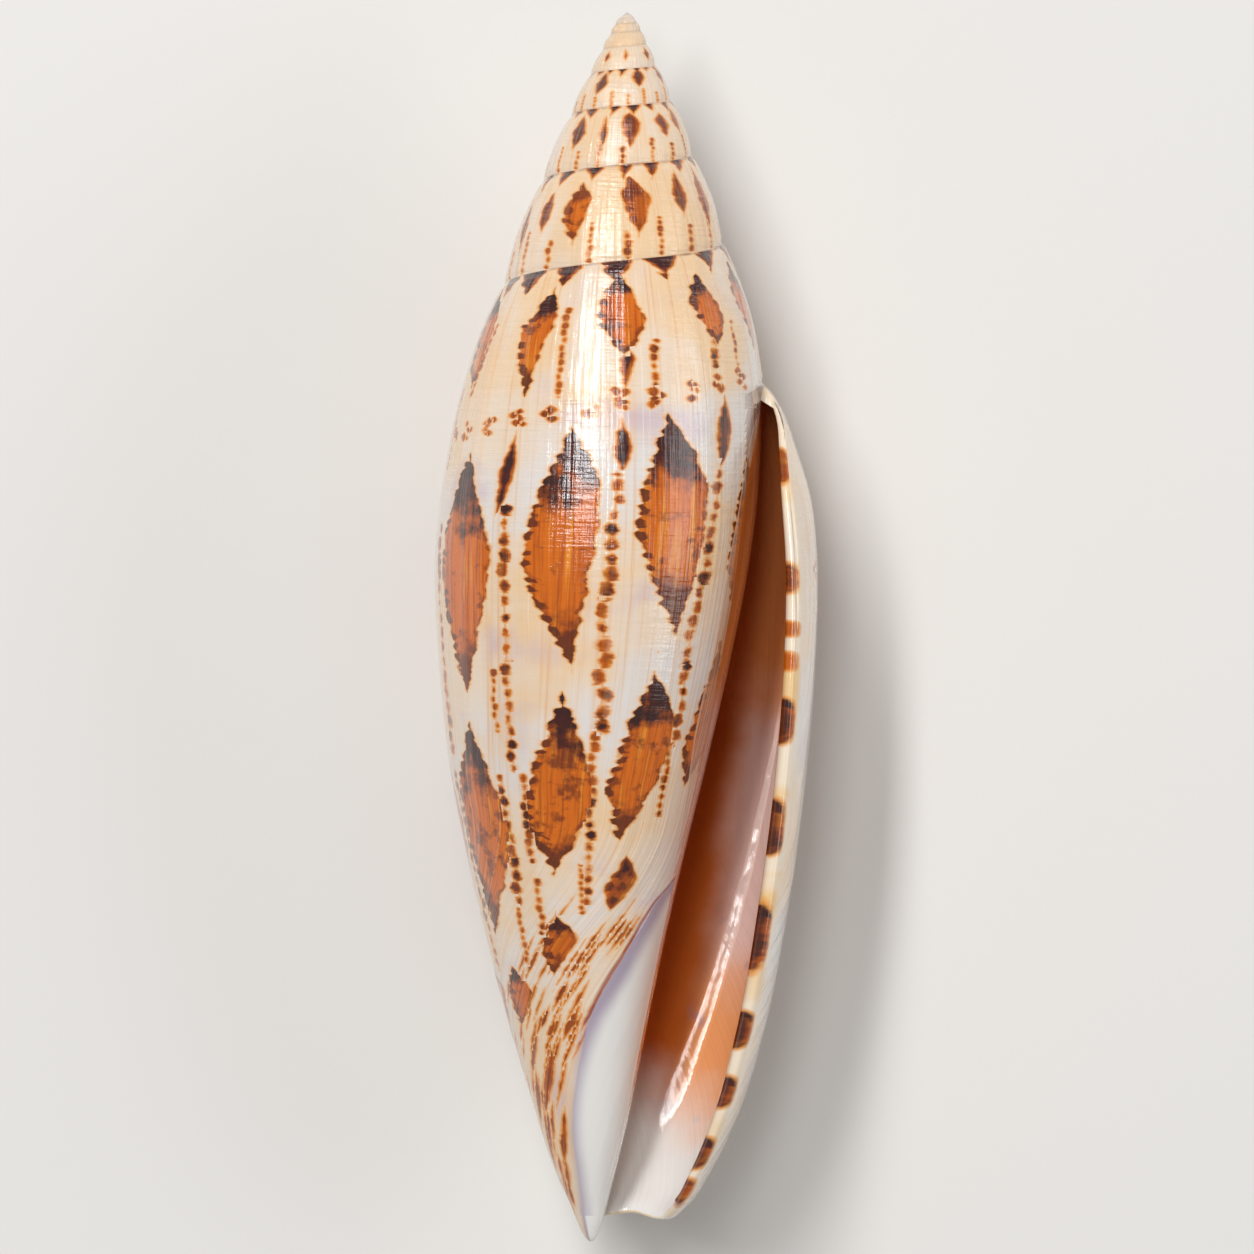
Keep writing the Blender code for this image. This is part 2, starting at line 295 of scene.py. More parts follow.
@dataclass
class ShellMesh:
    """The fine mesh of the shell, over the same spiral as the solid."""

    spiral: Spiral
    axis: Vector
    column_step: int = 2
    upper_count: int = 26
    lower_count: int = 112
    corner_share: float = 0.016
    rim_lines: Table = ((0.07, 0.2), (0.22, 0.36), (0.42, 0.41), (0.62, 0.34), (0.82, 0.19), (0.94, 0.07))
    tip_rings: Table = ((78.7, 0.86), (79.1, 0.68), (79.45, 0.52), (79.7, 0.38), (79.87, 0.25), (79.97, 0.12))
    rim_width: float = 1.5
    rim_back: float = 0.4
    slim: float = 0.997
    points: list[np.ndarray] = field(default_factory=list)
    count: int = 0
    patches: list[Patch] = field(default_factory=list)
    fans: list[Fan] = field(default_factory=list)
    lip_places: list[np.ndarray] = field(default_factory=list)

    def put(self, turn: np.ndarray, level: np.ndarray, radius: np.ndarray) -> np.ndarray:
        """Add points by turn, level and radius, and return their numbers."""
        return self.put_points(self.spots(turn, level, radius).reshape(-1, 3)).reshape(np.shape(level))

    def put_points(self, where: np.ndarray) -> np.ndarray:
        """Add points.

        Args:
            where: Their places in mm from the apex.

        Returns:
            Their numbers.
        """
        self.points.append(where)
        self.count += len(where)
        return np.arange(self.count - len(where), self.count)

    def row_level(self, turn: np.ndarray, row: np.ndarray) -> np.ndarray:
        """Level of a row: down to the next suture first, then on to the front.

        Args:
            turn: The turn.
            row: The row's number.

        Returns:
            The level.
        """
        spiral = self.spiral
        start, end = spiral.suture_level(turn), spiral.suture_level(turn + 360)
        even = np.clip(row / self.upper_count, 0, 1)
        upper = start + (end - start) * (even - 0.65 * np.sin(2 * np.pi * even) / (2 * np.pi))
        rest = np.clip((row - self.upper_count - 1) / (self.lower_count - 1), 0, 1)
        share = self.corner_share + (1 - self.corner_share) * rest
        lower = end + (spiral.front_level(turn) - end) * share
        return np.where(row <= self.upper_count, upper, lower)

    def slid(self, turn: np.ndarray, row: np.ndarray) -> np.ndarray:
        """The turn moved back near the place where the lip meets the suture.

        Args:
            turn: The turn.
            row: The row's number.

        Returns:
            The turn that the sheet has there.
        """
        spiral, level = self.spiral, self.row_level(turn, row)
        before = (turn - spiral.lip_turn) / spiral.sinus_turns
        below = (level - spiral.suture_level(turn)) / spiral.sinus_depth
        beside = (turn + 360 - spiral.lip_turn) / spiral.sinus_turns
        above = (level - spiral.suture_level(turn + 360)) / spiral.sinus_depth
        return turn - spiral.sinus * (np.exp(-(before**2) - below**2) + np.exp(-(beside**2) - above**2))

    def sheet(self, turns: np.ndarray, rows: np.ndarray) -> Grid:
        """A grid of places on the sheet.

        Args:
            turns: Its turns.
            rows: Its rows.

        Returns:
            Turn, level and radius of each place.
        """
        turn, row = np.meshgrid(turns.astype(float), rows.astype(float), indexing="ij")
        slid = self.slid(turn, row)
        level = self.row_level(slid, row)
        return slid, level, self.spiral.radius(slid, level)

    def inner(self, turns: np.ndarray, rows: np.ndarray) -> Grid:
        """A grid of places on the inner face of the wall.

        Args:
            turns: Its turns.
            rows: Its rows.

        Returns:
            Turn, level and radius of each place.
        """
        spiral = self.spiral
        slid, level, pillar = self.sheet(turns - 360, rows)
        share = ((rows - self.upper_count - 1) / (self.lower_count - 1))[None, :]
        level = level + (spiral.front_level(slid + 360) - spiral.ring_level) * share**4
        outer = spiral.radius(slid + 360, level)
        rise = (spiral.radius(slid + 360, level + 0.2) - spiral.radius(slid + 360, level - 0.2)) / 0.4
        wall = read(spiral.wall, share) * np.hypot(1, rise)
        room = outer - pillar
        wall = 1 / (1 / wall + 1 / (0.9 * room))
        near_end = np.minimum((turns - spiral.join_turn) / spiral.closing_turns, 1)[:, None]
        return slid + 360, level, pillar + (room - wall) * np.sqrt(1 - (1 - near_end) ** 2)

    def add_whorls(self) -> None:
        """The outer sheet from the apex to the lip."""
        spiral, step = self.spiral, self.column_step
        turns = np.arange(spiral.first_turn, spiral.lip_turn + 1, step)
        rows = np.arange(self.upper_count + 1)
        slid, level, radius = self.sheet(turns, rows)
        numbers = self.put(slid, level, radius)
        around = 360 // step
        numbers[:-around, -1] = numbers[around:, 0]
        self.upper = numbers
        self.lip_places.append(np.stack((slid[-1], level[-1])))
        self.patches.append(Patch(Skin.OUTSIDE, numbers, slid, level))
        last = np.arange(spiral.lip_turn - 360, spiral.lip_turn + 1, step)
        rows = np.arange(self.upper_count, self.upper_count + self.lower_count + 1)
        slid, level, radius = self.sheet(last, rows)
        numbers = self.put(slid, level, radius)
        numbers[:, 0] = self.upper[-around - 1 :, -1]
        self.lower = numbers
        self.lip_places.append(np.stack((slid[-1], level[-1]))[:, 1:])
        self.patches.append(Patch(Skin.OUTSIDE, numbers, slid, level))

    def add_apex(self) -> None:
        """A small dome over the first turn."""
        around = 360 // self.column_step
        loop = [*self.upper[: around + 1, 0], *self.upper[0, -2:0:-1]]
        pole = int(self.put(np.zeros(1), np.zeros(1), np.zeros(1))[0])
        turn, level = float(self.spiral.first_turn), 0.2
        for here, ahead in zip(loop, loop[1:] + loop[:1]):
            self.fans.append(Fan(Skin.OUTSIDE, [int(here), int(ahead), pole], [turn] * 3, [level] * 3))

    def add_hollow(self) -> None:
        """The wall's inner face and the pillar, which meet at the corner and at the deep end."""
        spiral, step = self.spiral, self.column_step
        turns = np.arange(spiral.join_turn, spiral.lip_turn + 1, step)
        rows = np.arange(self.upper_count + 1, self.upper_count + self.lower_count + 1)
        slid, level, radius = self.sheet(turns - 360, rows)
        pillar = self.put(slid, level, radius)
        pillar[-1] = self.lower[0, 1:]
        self.pillar = pillar
        self.patches.append(Patch(Skin.PILLAR, pillar, slid, level))
        slid, level, radius = self.inner(turns, rows)
        wall = self.put(slid, level, radius)
        wall[0] = pillar[0]
        wall[:, 0] = pillar[:, 0]
        self.wall = wall
        self.patches.append(Patch(Skin.HOLLOW, wall, slid, level))

    def rim_path(self, back: np.ndarray, rows: np.ndarray) -> Grid:
        """The edge of the lining, down the lip and then back along the free front.

        Args:
            back: Turns of the free front, from the lip back.
            rows: Rows of the lip.

        Returns:
            Turn, level and radius of each place.
        """
        lip = [part[0] for part in self.inner(np.array([self.spiral.lip_turn]), rows[1:])]
        front = [part[:, 0] for part in self.inner(back, rows[-1:])]
        turn, level, radius = (np.concatenate(pair) for pair in zip(lip, front))
        return turn, level, radius

    def rim_edges(self, path: Grid, lips: int) -> Grid:
        """The edges that the rim rounds off.

        Args:
            path: The edge of the lining.
            lips: How many of its places are on the lip.

        Returns:
            The points of the outer edge and of the lining's, and the way out past them, as long as the
            wall is thick.
        """
        turn, level, radius = path
        place = np.arange(len(turn))
        past = turn - np.where(place < lips, self.column_step, 0.0)
        above = level - np.where(place < lips - 1, 0.0, self.rim_back)
        edge = self.spots(turn, level, self.spiral.radius(turn, level))
        lining = self.spots(turn, level, radius)
        out = edge - self.spots(past, above, self.spiral.radius(past, above))
        thick = np.linalg.norm(edge - lining, axis=1, keepdims=True)
        return edge, lining, out / np.linalg.norm(out, axis=1, keepdims=True) * thick

    def add_rim(self) -> None:
        """The rounded edge of the lip and of the free front."""
        spiral = self.spiral
        rows = np.arange(self.upper_count + 1, self.upper_count + self.lower_count + 1)
        back = np.arange(spiral.lip_turn - self.column_step, spiral.join_turn, -self.column_step)
        path = self.rim_path(back, rows)
        lips = len(rows) - 1
        edge, lining, out = self.rim_edges(path, lips)
        corner, join = int(self.lower[0, 1]), int(self.wall[0, -1])
        lines = []
        for across, swell in self.rim_lines:
            where = edge * (1 - across) + lining * across + out * swell
            lines.append(np.concatenate(([corner], self.put_points(where), [join])))
        lines.append(np.concatenate((self.wall[-1], self.wall[-2:0:-1, -1], [join])))
        turn = np.concatenate((path[0][:1], path[0], [spiral.join_turn]))
        level = np.concatenate((path[1][:1] - self.rim_back, path[1], [spiral.ring_level]))
        over = [self.rim_width * across for across, _ in self.rim_lines] + [self.rim_width]
        for at in range(len(lines) - 1):
            self.add_strip(lines[at : at + 2], turn, level, over[at : at + 2])
        first = np.stack((turn, level, np.full(len(turn), over[0])))
        self.close_rim(lines[0], first, lips, back)

    def add_strip(self, lines: list[np.ndarray], turn: np.ndarray, level: np.ndarray, over: list[float]
                  ) -> None:
        """One strip of the rim between two lines.

        Args:
            lines: Numbers of the points on both.
            turn: Turns along them.
            level: Levels along them.
            over: Each line's way over the lip.
        """
        ways = np.stack([np.full(len(turn), way) for way in over])
        self.patches.append(
            Patch(Skin.RIM, np.stack(lines), np.stack((turn, turn)), np.stack((level, level)), ways))

    def close_rim(self, line: np.ndarray, facts: np.ndarray, lips: int, back: np.ndarray) -> None:
        """Join the rim's first line to the sheet, with triangles on the lip and a strip on the front.

        Args:
            line: Numbers of the line's points.
            facts: Their turns, levels and ways over the lip.
            lips: How many of them are on the lip.
            back: Turns of the free front, from the lip back.
        """
        whole = np.concatenate((self.upper[-1], self.lower[-1, 1:]))
        last = np.vstack((np.concatenate(self.lip_places, axis=1), np.zeros(len(whole))))
        self.zip(whole, line[: lips + 1], last, facts[:, : lips + 1])
        turns = [self.spiral.lip_turn, *back, self.spiral.join_turn]
        turn, level, over = facts[:, lips:]
        self.add_strip([self.lower_front(turns), line[lips:]], turn, level, [0.0, over[0]])

    def lower_front(self, turns: np.ndarray) -> np.ndarray:
        """Numbers of the sheet's front points at some turns."""
        at = (np.asarray(turns) - self.spiral.lip_turn + 360) // self.column_step
        return self.lower[at, -1]

    @staticmethod
    def spots(turn: np.ndarray, level: np.ndarray, radius: np.ndarray) -> np.ndarray:
        """Points by turn, level and radius."""
        angle = np.radians(turn)
        return np.stack((radius * np.cos(angle), -level, radius * np.sin(angle)), -1)

    def zip(self, first: np.ndarray, second: np.ndarray, first_facts: np.ndarray, second_facts: np.ndarray
            ) -> None:
        """Close the gap between two lines that differ in their count of points with triangles.

        Args:
            first: Numbers of one line's points.
            second: Numbers of the other's.
            first_facts: Turn, level and way over the lip of the first line's points.
            second_facts: The same for the other's.
        """
        one = two = 0
        while one < len(first) - 1 or two < len(second) - 1:
            ahead = (one + 1) * (len(second) - 1) <= (two + 1) * (len(first) - 1)
            if two == len(second) - 1 or (ahead and one < len(first) - 1):
                corners = [int(first[one]), int(first[one + 1]), int(second[two])]
                facts = np.stack((first_facts[:, one], first_facts[:, one + 1], second_facts[:, two]), -1)
                one += 1
            else:
                corners = [int(first[one]), int(second[two + 1]), int(second[two])]
                facts = np.stack((first_facts[:, one], second_facts[:, two + 1], second_facts[:, two]), -1)
                two += 1
            self.fans.append(Fan(Skin.RIM, corners, list(facts[0]), list(facts[1]), tuple(facts[2])))

    def add_tip(self) -> None:
        """The closed front end of the pillar."""
        spiral, step = self.spiral, self.column_step
        start = spiral.lip_turn - 360
        turns = np.arange(start, spiral.join_turn + 1, step)
        ring = np.concatenate((self.lower_front(turns), self.pillar[:-1, -1]))
        turn = np.concatenate((turns, np.arange(spiral.join_turn - 360, start, step))).astype(float)
        around = np.concatenate(self.points)[ring]
        lines, levels = [ring], [spiral.ring_level]
        for level, share in self.tip_rings:
            where = around * (share, 0, share) - (0, level, 0)
            lines.append(self.put_points(where))
            levels.append(level)
        numbers = np.stack([np.append(line, line[0]) for line in lines])
        turn = np.broadcast_to(np.append(turn, turn[0]), numbers.shape)
        level = np.broadcast_to(np.array(levels)[:, None], numbers.shape)
        self.patches.append(Patch(Skin.TIP, numbers, turn, level))
        pole = int(self.put_points(np.array([[0.0, -spiral.tip_level, 0.0]]))[0])
        last = lines[-1]
        for at, here in enumerate(last):
            ahead = int(last[(at + 1) % len(last)])
            self.fans.append(Fan(Skin.TIP, [int(here), ahead, pole], [100.0] * 3, [spiral.tip_level] * 3))

    def gather(self) -> "SkinPlan":
        """Collect the faces and what each corner knows of its place.

        Returns:
            The faces with their corners' turns, levels, ways over the lip, and skins.
        """
        faces, turns, levels, overs, skins = [], [], [], [], []
        for patch in self.patches:
            over = np.zeros(patch.turn.shape) if patch.over is None else patch.over
            stacks = [
                np.stack((grid[:-1, :-1], grid[1:, :-1], grid[1:, 1:], grid[:-1, 1:]), -1).reshape(-1, 4)
                for grid in (patch.numbers, patch.turn, patch.level, over)
            ]
            for numbers, turn, level, across in zip(*stacks):
                keep = [at for at in range(4) if numbers[at] != numbers[at - 1]]
                if len(keep) < 3:
                    continue
                faces.append(tuple(int(numbers[at]) for at in keep))
                turns.extend(turn[at] for at in keep)
                levels.extend(level[at] for at in keep)
                overs.extend(across[at] for at in keep)
                skins.append(patch.skin.value)
        for fan in self.fans:
            faces.append(tuple(fan.corners))
            turns.extend(fan.turn)
            levels.extend(fan.level)
            overs.extend(fan.over)
            skins.append(fan.skin.value)
        return SkinPlan(faces, np.array(turns), np.array(levels), np.array(overs), np.array(skins))

    def build(self) -> tuple[bpy.types.Object, "SkinPlan"]:
        """Make the shell's object.

        Returns:
            The object, and the plan of its faces.
        """
        self.add_whorls()
        self.add_apex()
        self.add_hollow()
        self.add_rim()
        self.add_tip()
        plan = self.gather()
        where = np.concatenate(self.points) * (self.slim, 1, self.slim) * MM + np.array(self.axis)
        mesh = bpy.data.meshes.new("shell_skin")
        mesh.from_pydata(where.tolist(), [], plan.faces)
        mesh.polygons.foreach_set("use_smooth", np.ones(len(plan.faces), bool))
        return bpy.data.objects.new("shell_skin", mesh), plan


@dataclass
class SkinPlan:
    """The faces of the shell, and the place of each corner on the sheet."""

    faces: list[tuple[int, ...]]
    turn: np.ndarray
    level: np.ndarray
    over: np.ndarray
    skin: np.ndarray

    def owner(self) -> np.ndarray:
        """The face that each corner belongs to."""
        return np.repeat(np.arange(len(self.faces)), [len(face) for face in self.faces])

    def middle(self, values: np.ndarray) -> np.ndarray:
        """The mean over each face."""
        return np.bincount(self.owner(), values) / np.bincount(self.owner())


@dataclass(frozen=True)
class Mark:
    """One marking.

    Its place on the sheet, its reach in mm to the left, the right and up and down, its lean, how far down
    its left and its right side are widest, from -1 to 1, and how dark it is.
    """

    turn: float
    level: float
    left: float
    right: float
    tall: float
    lean: float = 0.0
    left_belly: float = 0.0
    right_belly: float = 0.0
    dark: float = 0.6
    shape: Shape = Shape.DIAMOND


@dataclass
class MarkLayout:
    """The spots, wedges, chains, dots and lip spots, in columns along the growth of the shell."""

    spiral: Spiral
    seed: int = 11
    column_gap: float = 40.0
    fine_streaks: int = 90
    wedge_step: int = 23
    cluster_dots: int = 6
    marks: list[Mark] = field(default_factory=list)

    def gap(self, turn: float) -> tuple[float, float]:
        """The room between two sutures.

        Args:
            turn: The turn.

        Returns:
            The level where the sheet starts, and how far down the next suture is.
        """
        start = float(self.spiral.suture_level(turn))
        return start, float(self.spiral.suture_level(turn + 360)) - start

    def front_diamonds(self) -> None:
        """The large spots that show from the front, row by row."""
        rows = (
            (151, 36.8, 3.0, 2.8, 7.66, -0.01, -0.07, -0.14), (105, 34.8, 3.3, 2.0, 7.48, 0.02, 0.14, -0.49),
            (66, 33.1, 2.7, 2.7, 7.0, 0.09, 0.11, -0.25), (27, 33.9, 1.65, 1.5, 5.2, 0.0, 0.3, 0.0),
            (157, 53.3, 2.3, 2.9, 6.7, -0.12, -0.27, 0.04), (111, 50.3, 2.25, 2.4, 5.6, -0.1, 0.25, 0.1),
            (75, 48.3, 1.6, 2.5, 5.4, -0.14, 0.35, -0.28), (37, 45.4, 1.2, 1.6, 4.7, -0.13, 0.5, 0.28),
            (80, 56.6, 0.75, 1.15, 1.75, -0.24, 0.3, -0.2), (119, 60.7, 0.9, 1.4, 1.85, -0.14, 0.14, -0.3),
            (156, 64.1, 0.9, 1.5, 1.9, -0.12, 0.08, -0.06), (162, 21.6, 1.5, 1.25, 3.3, 0.15, 0.4, -0.4),
            (124, 21.7, 1.7, 0.7, 3.3, -0.12, -0.1, -0.55), (89, 19.8, 1.45, 1.6, 2.8, 0.1, 0.0, 0.15),
            (47, 19.3, 1.2, 1.3, 2.3, 0.15, -0.15, 0.3), (14, 18.9, 1.4, 1.5, 2.8, 0.12, -0.28, 0.1),
            (86, 23.3, 0.5, 0.5, 1.2, -0.07, -0.4, -0.5),
        )
        self.marks += [Mark(*row) for row in rows]
        tops = ((131, 30.4, 0.5, 0.7, 2.4, -0.2), (87, 28.4, 0.5, 0.6, 1.55, 0.03),
                (44, 27.2, 0.55, 0.9, 2.2, -0.08))
        self.marks += [Mark(*row, dark=0.9) for row in tops]

    def front_spire(self) -> None:
        """The spots that show from the front above the last turn."""
        rows = (
            (-199, 14.2, 0.4, 0.5, 1.4, 0.2), (-220, 13.3, 0.54, 0.4, 1.25, -0.03),
            (-243, 13.2, 1.0, 0.8, 1.9, 0.0, 0.12, -0.4), (-278, 12.7, 0.75, 1.15, 1.8, 0.15, -0.28, -0.3),
            (-310, 11.8, 0.55, 0.5, 1.2), (-333, 12.0, 0.65, 0.5, 1.8), (-585, 8.0, 0.42, 0.6, 1.0),
            (-612, 8.0, 0.2, 0.25, 0.8), (-636, 7.7, 0.55, 0.65, 1.05, 0.0, -0.24, -0.3),
            (-670, 7.3, 0.5, 0.5, 0.72, 0.1, -0.3), (-691, 7.0, 0.4, 0.33, 0.8, 0.08),
            (-955, 4.8, 0.28, 0.4, 0.7, -0.2), (-1011, 4.3, 0.4, 0.36, 0.52, -0.1),
            (-1057, 4.0, 0.3, 0.25, 0.55), (-1310, 3.0, 0.16, 0.2, 0.3), (-1350, 2.85, 0.1, 0.12, 0.24),
            (-1400, 2.7, 0.15, 0.16, 0.3),
        )
        self.marks += [Mark(*row, dark=0.42) for row in rows]

    def front_streaks(self, chance: np.random.Generator) -> None:
        """The thin oblique streaks near the front end, each along a growth line.

        Args:
            chance: The random numbers.
        """
        lines = (
            (119, 64.0, 0.22, 0.9), (112, 65.7, 0.26, 1.1), (142, 69.5, 0.42, 2.1), (153, 67.9, 0.2, 1.2),
            (137, 73.4, 0.24, 1.7), (148, 75.7, 0.18, 1.0), (158, 77.0, 0.16, 0.6), (79, 59.8, 0.12, 0.7),
            (96, 65.0, 0.12, 1.1), (165, 70.8, 0.34, 1.6), (170, 74.0, 0.22, 1.5), (128, 67.6, 0.13, 0.9),
            (104, 63.0, 0.1, 0.7), (133, 65.4, 0.12, 0.6), (150, 72.4, 0.15, 1.2), (160, 73.0, 0.16, 1.3),
        )
        for turn, level, wide, tall in lines:
            self.streak(turn, level, wide * 0.9, tall, 0.22)
        for _ in range(self.fine_streaks):
            level = chance.uniform(59, 77.5)
            turn = float(read(self.spiral.growth_lean, level)) + chance.uniform(14, 100)
            if turn < 205:
                wide, tall = chance.uniform(0.05, 0.13), chance.uniform(0.4, 1.2)
                self.streak(turn, level, wide, tall, chance.uniform(0, 0.15))

    def streak(self, turn: float, level: float, wide: float, tall: float, dark: float) -> None:
        """One streak along a growth line.

        Args:
            turn: The turn of its middle.
            level: The level of its middle.
            wide: Half its width in mm.
            tall: Half its length in mm.
            dark: How dark it is.
        """
        ahead, behind = (float(read(self.spiral.growth_lean, level + step)) for step in (1.0, -1.0))
        arc = float(self.spiral.radius(turn, level)) * math.pi / 180
        lean = -(ahead - behind) / 2 * arc
        self.marks.append(Mark(turn, level, wide, wide, tall, lean, 0, 0, dark, Shape.DOT))

    def sutures(self, chance: np.random.Generator) -> None:
        """Dark wedges that hang from the suture of every turn.

        Args:
            chance: The random numbers.
        """
        known = ((139, 1.0, 1.25), (117, 0.8, 1.0), (92, 0.85, 1.3), (66, 1.05, 1.4), (37, 0.8, 1.05),
                 (12, 0.75, 1.0), (159, 0.8, 1.1))
        for turn, wide, tall in known:
            self.marks.append(self.wedge(turn, wide * 1.2, tall * 1.15, chance, 0.95))
        for turn in range(-1100, 378, self.wedge_step):
            if -4 < turn < 168:
                continue
            at = turn + chance.uniform(-3, 3)
            gap = self.gap(at)[1]
            wide, tall = gap * chance.uniform(0.07, 0.12), gap * chance.uniform(0.09, 0.15)
            self.marks.append(self.wedge(at, wide, tall, chance, chance.uniform(0.6, 0.95)))

    def wedge(self, turn: float, wide: float, tall: float, chance: np.random.Generator, dark: float) -> Mark:
        """One wedge, a little lopsided.

        Args:
            turn: Its turn.
            wide: Half its width in mm.
            tall: Its height in mm.
            chance: The random numbers.
            dark: How dark it is.

        Returns:
            The mark.
        """
        tilt = chance.uniform(-0.35, 0.35)
        left, right = wide * (1 + tilt), wide * (1 - tilt)
        lean = chance.uniform(-0.2, 0.2)
        return Mark(turn, self.gap(turn)[0], left, right, tall, lean, dark=dark, shape=Shape.WEDGE)

    def spire(self, chance: np.random.Generator) -> None:
        """Spots and chains on the far side of the turns above the last one.

        Args:
            chance: The random numbers.
        """
        for step in range(-28, 0):
            at = 8 + self.column_gap * step + chance.uniform(-3, 3)
            start, gap = self.gap(at)
            size = chance.uniform(0.75, 1.15) * min(1, (start + 2) / 5)
            if self.is_far(at):
                lean = chance.uniform(-0.1, 0.2)
                wide = 0.13 * gap * size
                self.marks.append(Mark(at, start + 0.38 * gap, wide, wide, 0.29 * gap * size, lean,
                                       dark=chance.uniform(0.4, 0.7)))
            self.chain(at, start + 0.84 * gap, 0.035 * gap, 0.14 * gap, 0.3)
            beside = at + self.column_gap / 2
            start, gap = self.gap(beside)
            if self.is_far(beside) and chance.uniform() < 0.75:
                size = chance.uniform(0.5, 1.0) * min(1, (start + 2) / 5)
                wide = 0.07 * gap * size
                self.marks.append(Mark(beside, start + 0.4 * gap, wide, wide, 0.22 * gap * size, 0.1,
                                       dark=chance.uniform(0.4, 0.7)))
            self.chain(beside, start + 0.78 * gap, 0.026 * gap, 0.2 * gap, 0.2)

    @staticmethod
    def is_far(turn: float) -> bool:
        """Whether a turn is on the side away from the camera."""
        return 176 < turn % 360 < 352

    def chain(self, turn: float, level: float, wide: float, tall: float, dark: float, drift: float = 0.0
              ) -> None:
        """One chain of beads.

        Args:
            turn: The turn of its middle.
            level: The level of its middle.
            wide: Half the width of its largest beads in mm.
            tall: Half its length in mm.
            dark: How dark it is.
            drift: Degrees that it moves for each mm down.
        """
        lean = -drift * float(self.spiral.radius(turn, level)) * math.pi / 180
        self.marks.append(Mark(turn, level, wide, wide, tall, lean, 0, 0, dark, Shape.CHAIN))

    def chains(self) -> None:
        """Chains on the last turn, between the columns of large spots."""
        front = (
            (130, 37.4, 0.46, 5.0, 0.9), (130.5, 46.0, 0.36, 3.6, 0.7), (137, 45.0, 0.24, 2.0, 0.3),
            (137.5, 54.0, 0.36, 4.2, 0.7), (140, 60.2, 0.2, 1.8, 0.2), (127, 52.5, 0.26, 2.9, 0.5),
            (126, 58.2, 0.24, 1.8, 0.4), (89.5, 34.2, 0.44, 4.0, 0.9, 0.3), (92, 42.6, 0.5, 4.4, 0.8),
            (96.5, 52.4, 0.32, 5.6, 0.6, 0.3), (50.5, 35.9, 0.44, 6.6, 0.9, 0.8),
            (55, 45.0, 0.42, 2.6, 0.8, 0.3), (58.5, 50.0, 0.24, 2.2, 0.4, 0.3),
            (112.5, 22.4, 0.2, 2.9, 0.15), (156, 23.0, 0.24, 2.4, 0.3, 1.5), (33, 21.4, 0.2, 1.4, 0.3),
            (74.5, 22.9, 0.26, 1.5, 0.4), (46, 22.0, 0.36, 1.0, 0.6), (101, 57.0, 0.16, 1.6, 0.15),
        )
        for row in front:
            self.chain(*row)
        for turn in (170, 208, 248, 288, 328, 364):
            self.chain(turn, 41.0, 0.44, 7.5, 0.8)
            self.chain(turn + 2, 56.0, 0.34, 6.5, 0.6)
            self.chain(turn + 1, 27.5, 0.24, 2.6, 0.3)

    def clusters(self, chance: np.random.Generator) -> None:
        """A row of small clusters at about the height where the next suture would be.

        Args:
            chance: The random numbers.
        """
        places = [(156, 27.5), (142, 27.3), (128, 26.6), (115, 26.3), (99, 26.0), (88, 25.3), (74, 25.0),
                  (59, 24.7), (45, 24.1), (31, 23.7)]
        far = ((168, 27.9), (260, 31.0), (378, 36.0))
        turn = 168.0
        while turn < 376:
            places.append((turn, float(read(far, turn))))
            turn += chance.uniform(11, 15)
        for turn, level in places:
            for _ in range(self.cluster_dots):
                across, down = chance.uniform(-2.6, 2.6), chance.uniform(-0.6, 0.6)
                size = chance.uniform(0.16, 0.36)
                tall = size * chance.uniform(0.7, 1.1)
                lean = chance.uniform(-0.3, 0.3)
                self.marks.append(Mark(turn + across, level + down, size, size, tall, lean,
                                       dark=chance.uniform(0.05, 0.4), shape=Shape.DOT))

    def far_side(self, chance: np.random.Generator) -> None:
        """Spots on the sides and the back of the last turn, in the same columns and rows.

        Args:
            chance: The random numbers.
        """
        for turn in range(190, 375, 40):
            later = (turn - 148) / 240
            rows = ((36.8 + 3 * later, 2.8, 7.6), (53.3 + 1.5 * later, 2.6, 6.4), (65.0 + later, 1.6, 2.4))
            for level, wide, tall in rows:
                size = chance.uniform(0.88, 1.06)
                at, down = turn + chance.uniform(-3, 3), level + chance.uniform(-0.8, 0.8)
                left = wide * size * chance.uniform(0.9, 1.15)
                right = wide * size * chance.uniform(0.8, 1)
                form = (chance.uniform(-0.12, 0.08), chance.uniform(0, 0.3), chance.uniform(-0.5, 0))
                self.marks.append(Mark(at, down, left, right, tall * size, *form, chance.uniform(0.5, 0.7)))
        for turn in range(202, 370, 38):
            at = turn + chance.uniform(-3, 3)
            start, gap = self.gap(at)
            right = 1.1 * chance.uniform(0.85, 1.2)
            lean = chance.uniform(-0.15, 0.15)
            self.marks.append(Mark(at, start + 0.3 * min(gap, 12), 1.4, right, 2.9, lean, 0, -0.3,
                                   chance.uniform(0.5, 0.7)))

    def lip(self) -> None:
        """The spots on the edge of the outer lip, placed by their way over it."""
        spots = ((29.3, 1.0, 0.5), (36.5, 0.85, 0.7), (39.8, 0.4, 0.15), (41.9, 0.5, 0.0), (45.8, 1.25, 1.0),
                 (52.6, 1.6, 0.85), (59.8, 2.0, 0.9), (65.8, 1.1, 0.85), (69.9, 0.95, 0.85),
                 (73.9, 0.9, 0.85), (76.4, 0.7, 0.8))
        for level, tall, dark in spots:
            self.marks.append(Mark(1.0, level, 1.6, 1.15, tall * 1.1, dark=dark * 0.7, shape=Shape.LIP))

    def lay_out(self) -> list[Mark]:
        """Place every mark.

        Returns:
            The marks.
        """
        chance = np.random.default_rng(self.seed)
        self.front_diamonds()
        self.front_spire()
        self.front_streaks(chance)
        self.sutures(chance)
        self.spire(chance)
        self.chains()
        self.clusters(chance)
        self.far_side(chance)
        self.lip()
        return self.marks


